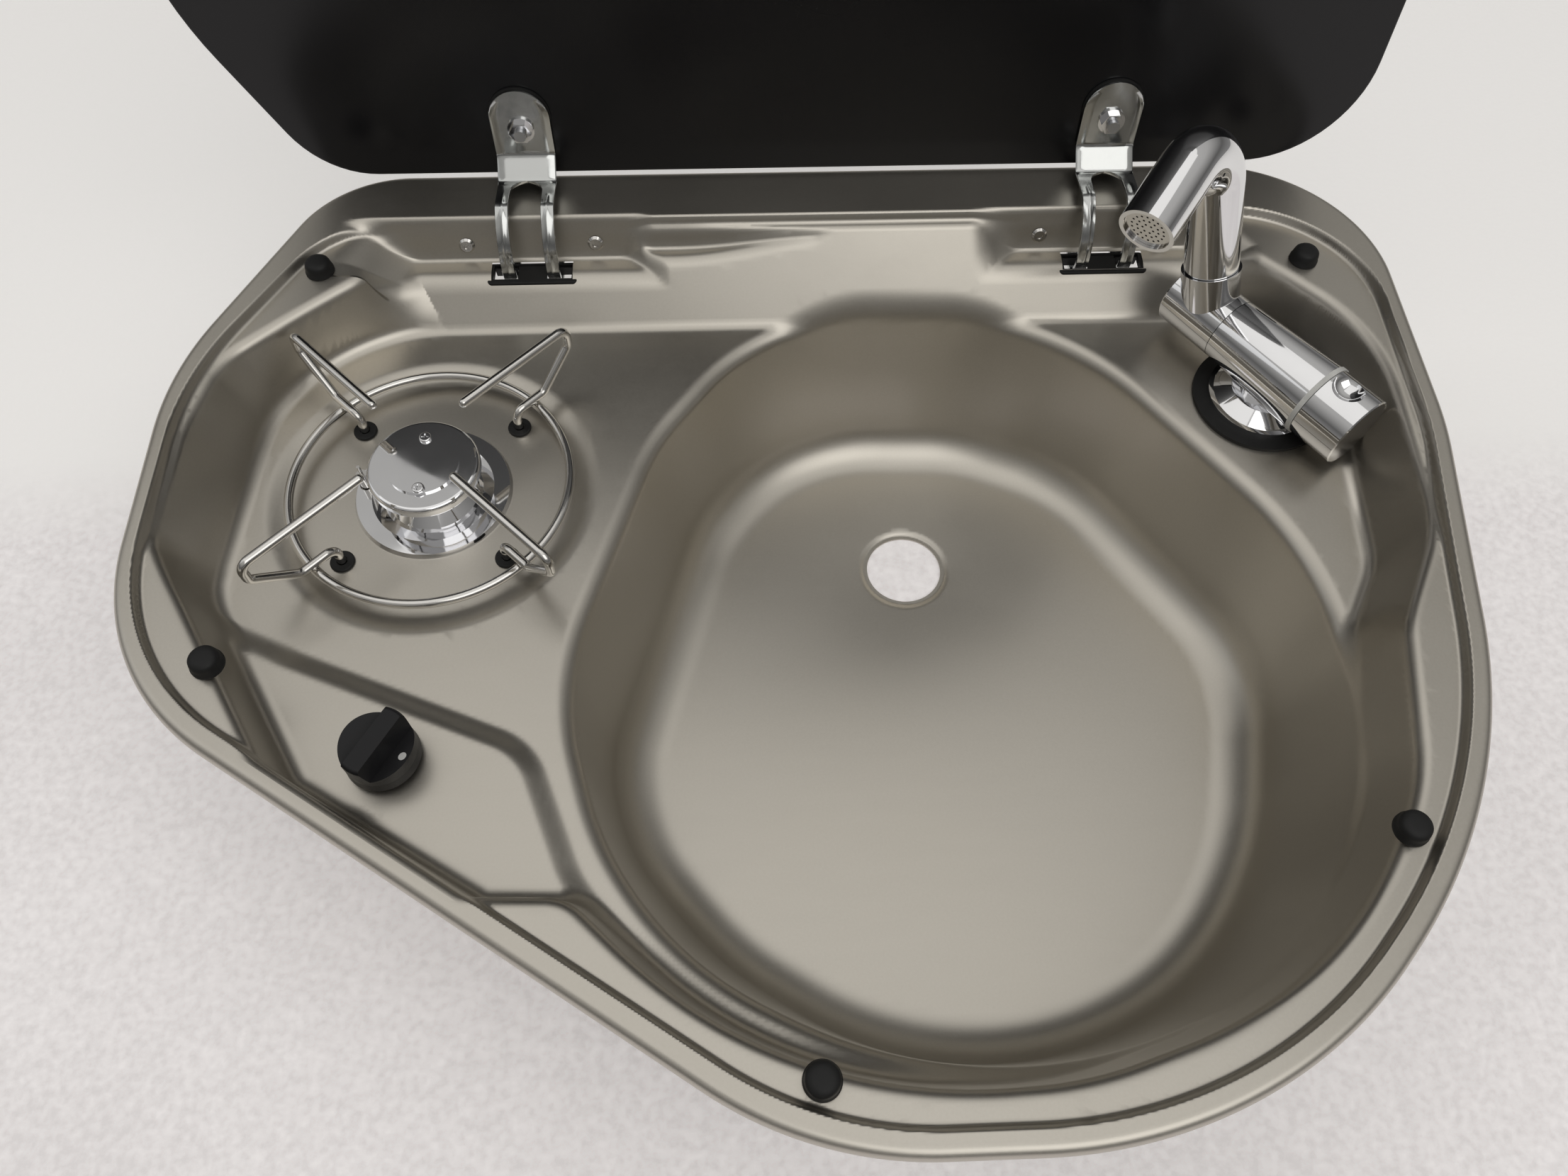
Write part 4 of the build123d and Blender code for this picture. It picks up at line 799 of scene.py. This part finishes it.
# %% [markdown]
# ## The bend of a hinge arm
# Each arm is one strip of plated steel, stamped flat with a fork at its foot and then bent over a former.
# From its pivot under the rear flange it hooks forwards, rises through the slot, arches back over the flange
# and lies flat against the inner face of the lid. Bending a flat mesh needs a modifier and a guide. It is
# simpler to draw the bent centre line, here in the Y-Z plane, to ease its corners with a running mean, as a
# former does, and to walk along it.

# %% Centre line of an arm
LID_FOOT, LID_TILT = (236.0, 6.0), math.radians(5)
PIVOT = (216.0, -10.0)
HEEL = [(201.0, -27.0), (189.0, -25.0)]
HOOK_ARC = ((187.0, -14.0), (192.0, 3.0), (205.0, 14.5))
STEP_AT = (224.0, 12.5)
PLATE_FROM, PLATE_TO, PLATE_OUT = 15, 51, 2
LINE_STEP, LINE_EASE = 0.4, 2.4


def on_lid(up, out):
    """A point beside the leaning lid, so far up its inner face and so far out in front of it."""
    return (LID_FOOT[0] + up * math.sin(LID_TILT) - out * math.cos(LID_TILT),
            LID_FOOT[1] + up * math.cos(LID_TILT) + out * math.sin(LID_TILT))


def arc_through(a, b, c, count):
    """Points on the circle through three points."""
    rows = np.array([(b[0] - a[0], b[1] - a[1]), (c[0] - a[0], c[1] - a[1])])
    centre = np.linalg.solve(rows, (rows ** 2).sum(1) / 2) + a
    f, m, l = (math.atan2(p[1] - centre[1], p[0] - centre[0]) for p in (a, b, c))
    turn = 1 if (m - f) % (2 * math.pi) < (l - f) % (2 * math.pi) else -1
    sweep = ((l - f) * turn) % (2 * math.pi) * turn
    radius = math.hypot(a[0] - centre[0], a[1] - centre[1])
    angles = [f + sweep * k / count for k in range(count + 1)]
    return [(centre[0] + radius * math.cos(t), centre[1] + radius * math.sin(t)) for t in angles]


def even_line(points, step, blur):
    """The same line in even steps, with its corners eased by a running mean."""
    points = np.array(points)
    along = np.append(0, np.cumsum(np.hypot(*np.diff(points, axis=0).T)))
    spots = np.linspace(0, along[-1], round(along[-1] / step) + 1)
    line = np.column_stack([np.interp(spots, along, points[:, k]) for k in (0, 1)])
    width = round(blur / step)
    for _ in range(2):
        ends = np.concatenate([line[:1] * 2 - line[width:0:-1], line, line[-1:] * 2 - line[-2:-width - 2:-1]])
        run = np.cumsum(np.concatenate([np.zeros((1, 2)), ends]), 0)
        span = 2 * (width // 2) + 1
        mean = (run[span:] - run[:-span]) / span
        line = mean[width - width // 2:width - width // 2 + len(line)]
    return spots, line


def arm_line():
    plate = [on_lid(PLATE_FROM, PLATE_OUT), on_lid(PLATE_TO, PLATE_OUT)]
    return even_line([PIVOT, *HEEL, *arc_through(*HOOK_ARC, 24), STEP_AT, *plate], LINE_STEP, LINE_EASE)


print("length of an arm's strip in mm:", round(float(arm_line()[0][-1]), 1))

# %% [markdown]
# ## The stamped outline of an arm
# The press cuts the strip with a fork at its foot, shoulders and a round top, and pushes a rib along each
# prong, which stiffens it and catches the light as a thin line. The outline could be a flat drawing that is
# wrapped round the bend. Here each half width is a function of the distance walked, so the arch of the fork,
# the shoulders and the round top all come out of the same walk as the bend.

# %% Widths and cross-section
ARM_T, FORK_HALF, GAP_HALF, PLATE_HALF = 2.0, 19.3, 8.1, 15.0
EDGE_CUT = 0.5
SHOULDER_FROM_TOP, SHOULDER_RUN = 32.0, 3.5
ARCH_AT, RIB_FOOT_AT = (STEP_AT[0] - GAP_HALF, 13.3), (187.5, -17.0)
RIB_START_RUN, RIB_STOP_SHORT, RIB_STOP_RUN = 4, 1, 5
# across a prong: distance from its inner edge, cut below its face, lift of the rib above it
PRONG_FACE = [(0, EDGE_CUT, 0), (EDGE_CUT, 0, 0), (2.6, 0, 0), (3.9, 0, 0.25), (4.7, 0, 0.45), (5.5, 0, 0.45),
              (6.3, 0, 0.25), (7.6, 0, 0)]


def half_widths(s, arch, total):
    """Inner and outer half width of the strip at a distance walked."""
    inner = GAP_HALF if s < arch else math.sqrt(max(GAP_HALF ** 2 - (s - arch) ** 2, 0))
    shoulder = float(ease((s - (total - SHOULDER_FROM_TOP)) / SHOULDER_RUN))
    outer = FORK_HALF + (PLATE_HALF - FORK_HALF) * shoulder
    into_top = max(s - (total - PLATE_HALF), 0)
    return inner, min(outer, math.sqrt(max(PLATE_HALF ** 2 - into_top ** 2, 0.01)))


def prong_section(inner, outer, rib):
    """Points round one prong, as distances from the arm's middle and heights above its centre line."""
    stretch = (outer - inner) / (FORK_HALF - GAP_HALF)
    open_side = min(1, inner / 2)
    front = [(inner + x * stretch, ARM_T / 2 - cut * open_side + lift * rib) for x, cut, lift in PRONG_FACE]
    front += [(outer - EDGE_CUT * stretch, ARM_T / 2), (outer, ARM_T / 2 - EDGE_CUT)]
    return front + [(x, -min(n, ARM_T / 2)) for x, n in front[::-1]]


print("points round a prong:", len(prong_section(GAP_HALF, FORK_HALF, 1)))

# %% [markdown]
# ## Two bent hinge arms
# Now the walk makes the mesh: a section at every third step, and at every step where the outline turns
# quickly, round the arch of the fork and at the round top. The left half is the mirror of the right half. At
# its foot each prong ends in an eye for the hinge's pin, which is a ring with four sides.

# %% Arms from the walk
EYE_R, PIN_R = 5.2, 2.8
EYE_PROFILE = [(PIN_R, GAP_HALF), (EYE_R, GAP_HALF), (EYE_R, FORK_HALF), (PIN_R, FORK_HALF), (PIN_R, GAP_HALF)]


def walked_to(place, spots, line):
    """The distance walked at the point of the line nearest to a place."""
    return spots[np.argmin(np.hypot(line[:, 0] - place[0], line[:, 1] - place[1]))]


def prong_mesh(side, hand):
    """Points and faces of one half of an arm, as a row of sections with both ends closed."""
    spots, line = arm_line()
    total = spots[-1]
    arch, rib_foot = walked_to(ARCH_AT, spots, line), walked_to(RIB_FOOT_AT, spots, line)
    fine = (np.abs(spots - arch - GAP_HALF) < 2.5) | (spots > total - 4)
    keep = np.unique(np.concatenate([np.arange(0, len(spots), 3), np.flatnonzero(fine), [len(spots) - 1]]))
    ahead = np.gradient(line, axis=0)
    normal = np.column_stack([-ahead[:, 1], ahead[:, 0]]) / np.hypot(*ahead.T)[:, None]
    verts = []
    for row in keep:
        s = spots[row]
        rib = float(ease((s - rib_foot) / RIB_START_RUN) * ease((arch - RIB_STOP_SHORT - s) / RIB_STOP_RUN))
        section = prong_section(*half_widths(s, arch, total), rib)
        verts += [(HINGE_X[side] + hand * x, *(line[row] + normal[row] * n)) for x, n in section]
    size = len(section)
    faces = []
    for r in range(len(keep) - 1):
        for k in range(size):
            a, b = r * size + k, r * size + (k + 1) % size
            faces.append((a, b, b + size, a + size) if hand > 0 else (a, a + size, b + size, b))
    return verts, faces + [tuple(range(end, end + size)) for end in (0, (len(keep) - 1) * size)]


def eye_mesh(side, hand):
    """Points and faces of the ring at the foot of a prong, about the pivot's axis."""
    turns = np.linspace(0, 2 * math.pi, 40, endpoint=False)
    rings = [np.array([(HINGE_X[side] + hand * x, PIVOT[0] + r * math.cos(t), PIVOT[1] + r * math.sin(t))
                       for t in turns]) for r, x in EYE_PROFILE]
    return joined_rings(rings)


def build_arm(side):
    verts, faces = [], []
    for part in [mesh(side, hand) for mesh in (prong_mesh, eye_mesh) for hand in (-1, 1)]:
        faces += [tuple(len(verts) + k for k in face) for face in part[1]]
        verts += [tuple(v) for v in part[0]]
    made = hold("arm_" + side, "lid", (np.array(verts) * MM).tolist(), faces, PLATED)
    made.data.set_sharp_from_angle(angle=math.radians(50))
    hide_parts("hinge_arm_" + side)
    return made


arms = [build_arm(side) for side in HINGE_X]
print("faces in each hinge arm:", [len(a.data.polygons) for a in arms])

# %% [markdown]
# ## Buffers
# The buffers are moulded rubber caps on the rim, domed so that the glass lands softly on them.
# A domed cap is a turned shape, so its outline is spun round an axis. A Screw modifier would do the same.
# Each cap takes its place from the CAD's own buffer, which it replaces.

# %% Domed caps
# radii and heights in millimetres, from the plug under the sheet to the top of the dome
CAP = [(0.0, -3.0), (2.4, -3.0), (2.4, 1.0), (7.1, 1.0), (7.1, 2.3), (6.7, 2.8), (6.5, 5.0), (6.1, 6.6),
       (5.2, 7.6), (3.6, 8.15), (1.8, 8.29), (0.0, 8.3)]
BUFFERS = range(1, 6)


def build_buffer(number):
    solid = node["lid_buffer_%d" % number]
    corners = [solid.matrix_world @ Vector(c) for c in solid.bound_box]
    x, y = ((min(c[k] for c in corners) + max(c[k] for c in corners)) / 2 for k in (0, 1))
    made = hold("buffer_%d" % number, "base", *joined_rings(turned(CAP, x, y, 48)), RUBBER)
    made.data.set_sharp_from_angle(angle=math.radians(50))
    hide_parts("lid_buffer_%d" % number)
    return made


buffers = [build_buffer(k) for k in BUFFERS]
print("faces in a buffer:", len(buffers[0].data.polygons))

# %% [markdown]
# ## Rubber in the hinge slots
# The rubber in each slot closes the space between the two prongs and hangs as a thin lip behind each of them.
# It could be one moulded piece with rounded edges. Only its flat top and the dark lips are seen between the
# prongs, so three slabs are enough.

# %% Slot seals
WEB_HALF, WEB_DEPTH = 7.5, 9.4
WEB_LOW, WEB_HIGH = (185.8, -19.0), (185.8, -17.6)
LIP_FROM, LIP_TO, LIP_T = 8.3, 20.2, 0.5
LIP_LOW, LIP_HIGH = (195.0, -24.2), (193.7, -18.0)
SLAB_FACES = [(0, 1, 5, 4), (2, 6, 7, 3), (0, 4, 6, 2), (1, 3, 7, 5), (4, 5, 7, 6), (0, 2, 3, 1)]


def slab(x0, x1, low, high, thick):
    """Corners of a slab that runs from one line to another in the Y-Z plane."""
    return [(x, y + t, z) for y, z in (low, high) for t in (0, thick) for x in (x0, x1)]


def build_slot_seal(side):
    slabs = [slab(-WEB_HALF, WEB_HALF, WEB_LOW, WEB_HIGH, WEB_DEPTH),
             slab(LIP_FROM, LIP_TO, LIP_LOW, LIP_HIGH, LIP_T),
             slab(-LIP_TO, -LIP_FROM, LIP_LOW, LIP_HIGH, LIP_T)]
    verts = [((HINGE_X[side] + x) * MM, y * MM, z * MM) for corners in slabs for x, y, z in corners]
    faces = [tuple(8 * number + k for k in face) for number in range(len(slabs)) for face in SLAB_FACES]
    return hold("slot_seal_" + side, "base", verts, faces, RUBBER, smooth=False)


seals = [build_slot_seal(side) for side in HINGE_X]
print("faces in a slot seal:", len(seals[0].data.polygons))

# %% [markdown]
# ## The mark on the knob
# A painted dot shows which way the knob is turned. Paint could be a mask in the knob's material, but then its
# edge would be only as sharp as the baked picture. A thin disc is sharp at any size. Its points are dropped
# onto the knob from above, so that it lies on the sloping face by itself, a hair above the plastic.

# %% Knob dot
DOT_SPOT, DOT_R, DOT_LIFT, DOT_SIDES = Vector((-173.6, -81.2, 0)), 1.8, 0.06, 24


def build_dot():
    knob = node["knob"]
    inward = knob.matrix_world.inverted()
    ring = [2 * math.pi * k / DOT_SIDES for k in range(DOT_SIDES)]
    offsets = [Vector((DOT_R * math.cos(t), DOT_R * math.sin(t), 0)) for t in ring] + [Vector((0, 0, 0))]
    hits = []
    for offset in offsets:
        above = inward @ ((DOT_SPOT + offset) * MM)
        _, place, out, _ = knob.ray_cast(above, inward.to_3x3() @ Vector((0, 0, -1)))
        hits.append(knob.matrix_world @ (place + out * DOT_LIFT * MM))
    faces = [(DOT_SIDES, k, (k + 1) % DOT_SIDES) for k in range(DOT_SIDES)]
    return hold("knob_dot", "knob", hits, faces, WHITE_PAINT)


dot = build_dot()
print("dot's middle in mm:", [round(v / MM, 1) for v in dot.data.vertices[DOT_SIDES].co])

# %% [markdown]
# ## Who wears what
# All other solids look right as they come from the CAD and only need a finish. Each could be dressed in its
# own line. One table from finish to pieces shows at a glance what the unit is made of, and the print names
# any piece left bare.

# %% Finishes on the CAD nodes
def numbered(stem, numbers):
    return ["%s_%d" % (stem, k) for k in numbers]


def left_and_right(*stems):
    return [stem + "_" + side for stem in stems for side in HINGE_X]


WEARS = {
    GLASS: ["lid_glass"],
    CHROME: ["tap_body", "tap_handle", "tap_elbow", "spout", "spout_sleeve", *left_and_right("lid_nut"),
             "burner_base", "burner_body", "burner_cap", "cap_disc", *numbered("cap_screw", (1, 2))],
    POLISHED: ["pan_ring", *numbered("pan_finger", range(1, 5)), "bracket_rivets", "flame_sensor",
               "tap_cartridge", "aerator"],
    PALE_PLASTIC: ["tap_ring"],
    RUBBER: [*left_and_right("slot_pad", "lid_pad"), *numbered("grommet", range(1, 5)), "tap_gasket"],
    KNOB_PLASTIC: ["knob"],
    SEAL_FOAM: ["rim_seal"],
    BRASS: ["gas_jet", "valve_body", "valve_plug", "tap_nut"],
    ZINC: [*left_and_right("hinge_bracket", "hinge_pin", "lid_bolt"), "knob_spindle", "knob_spring",
           "tap_washer"],
    ALUMINIUM: ["mixer_cup", "gas_pipe", "gas_inlet", "tap_tail"],
}
for finish, names in WEARS.items():
    for name in names:
        slots = node[name].data.materials
        slots.clear()
        slots.append(finish)
replaced = {"tray", *left_and_right("hinge_arm"), *numbered("lid_buffer", BUFFERS)}
dressed = {name for names in WEARS.values() for name in names}
print("nodes without a finish:", sorted(set(node) - dressed - replaced))

# %% [markdown]
# ## The paper under the unit
# The unit stands on pale paper, with a strip of smoother paper behind it. A very bright lamp would whiten the
# paper and burn out the steel. The paper's own pale colour does most of the work, and a weak glow of the same
# colour makes up for the soft light, while the unit's shadow still falls on it.

# %% Floor
FLOOR_Z, FLOOR_HALF = -128.2 * MM, 6.0
STRIP_FROM, STRIP_TO = 0.10, 0.16


def pale_floor():
    sheet = Finish("pale_floor", Specular_IOR_Level=0.3, Emission_Strength=0.28)
    grains = sheet.speckle(260, 4)
    clouds = sheet.speckle(5, 3)
    rearward = sheet.add("SeparateXYZ", None, {"Vector": sheet.spot()}, out="Y")
    share = sheet.ramp(grains * 0.7 + clouds * 0.3, 0.35, 0.65)
    near_colour = sheet.tint(share, (0.74, 0.71, 0.71), (0.88, 0.85, 0.85))
    colour = sheet.tint(sheet.ramp(rearward, STRIP_FROM, STRIP_TO), near_colour, (0.88, 0.865, 0.85))
    return sheet.feed(
        Base_Color=colour, Emission_Color=colour,
        Roughness=sheet.ramp(grains, 0.3, 0.7, 0.5, 0.7),
        Normal=sheet.bump(grains, 0.0006, 0.5))


def build_floor():
    mesh = bpy.data.meshes.new("floor")
    corners = [(x * FLOOR_HALF, y * FLOOR_HALF, FLOOR_Z) for x, y in ((-1, -1), (1, -1), (1, 1), (-1, 1))]
    mesh.from_pydata(corners, [], [(0, 1, 2, 3)])
    mesh.materials.append(pale_floor())
    made = bpy.data.objects.new("floor", mesh)
    bpy.context.scene.collection.objects.link(made)
    return made


floor = build_floor()
print("floor at mm:", round(floor.data.vertices[0].co.z / MM, 1))

# %% [markdown]
# ## The room
# A mirror shows its room, so chrome needs bright panels and darker gaps around it. Satin steel blurs the same
# room into broad bands. A point lamp would leave one hard spot on each bend. Three wide panels are used
# instead: a window in front on the right, a larger one overhead, and a very weak one on the left. The world
# round them is a warm grey, darkest a little above the horizon and lightest overhead.

# %% Panels and world
# spot and size in metres, power in watts, colour
PANELS = {
    "window": ((0.7, -1.2, 1.9), (2.0, 1.6), 12, (1, 0.99, 0.97)),
    "overhead": ((-0.3, 0.4, 2.2), (2.6, 2.2), 8, (1, 0.985, 0.96)),
    "left": ((-1.7, 0.3, 1.1), (1.0, 1.2), 1.5, (0.97, 0.985, 1)),
}
SKY_STRENGTH = 0.7
SKY = [(0.0, (0.30, 0.295, 0.29)), (0.25, (0.16, 0.157, 0.153)),
       (0.7, (0.60, 0.59, 0.57)), (1.0, (0.70, 0.69, 0.67))]


def build_panel(name, spot, size, power, colour):
    """A rectangular lamp that faces the unit's middle."""
    lamp = bpy.data.lights.new(name, "AREA")
    lamp.shape, (lamp.size, lamp.size_y) = "RECTANGLE", size
    lamp.energy, lamp.color = power, colour
    made = bpy.data.objects.new(name, lamp)
    made.location = spot
    made.rotation_euler = (-Vector(spot)).to_track_quat("-Z", "Y").to_euler()
    bpy.context.scene.collection.objects.link(made)
    return made


def build_world():
    world = bpy.data.worlds.new("room")
    world.use_nodes = True
    bpy.context.scene.world = world
    sky = Graph(world.node_tree)
    height = sky.add("SeparateXYZ", None, {0: sky.add("TexCoord", out="Generated")}, out="Z")
    background = sky.tree.nodes["Background"]
    sky.put(background.inputs["Color"], sky.add("ValToRGB", {"stops": SKY}, {0: height}))
    sky.put(background.inputs["Strength"], SKY_STRENGTH)


panels = [build_panel(name, *row) for name, row in PANELS.items()]
build_world()
bpy.context.scene.view_settings.view_transform = "Standard"
print("panels:", [p.name for p in panels])

# %% [markdown]
# ## The finished scene
# The dressed unit, its camera, floor, lamps and world are now in place.
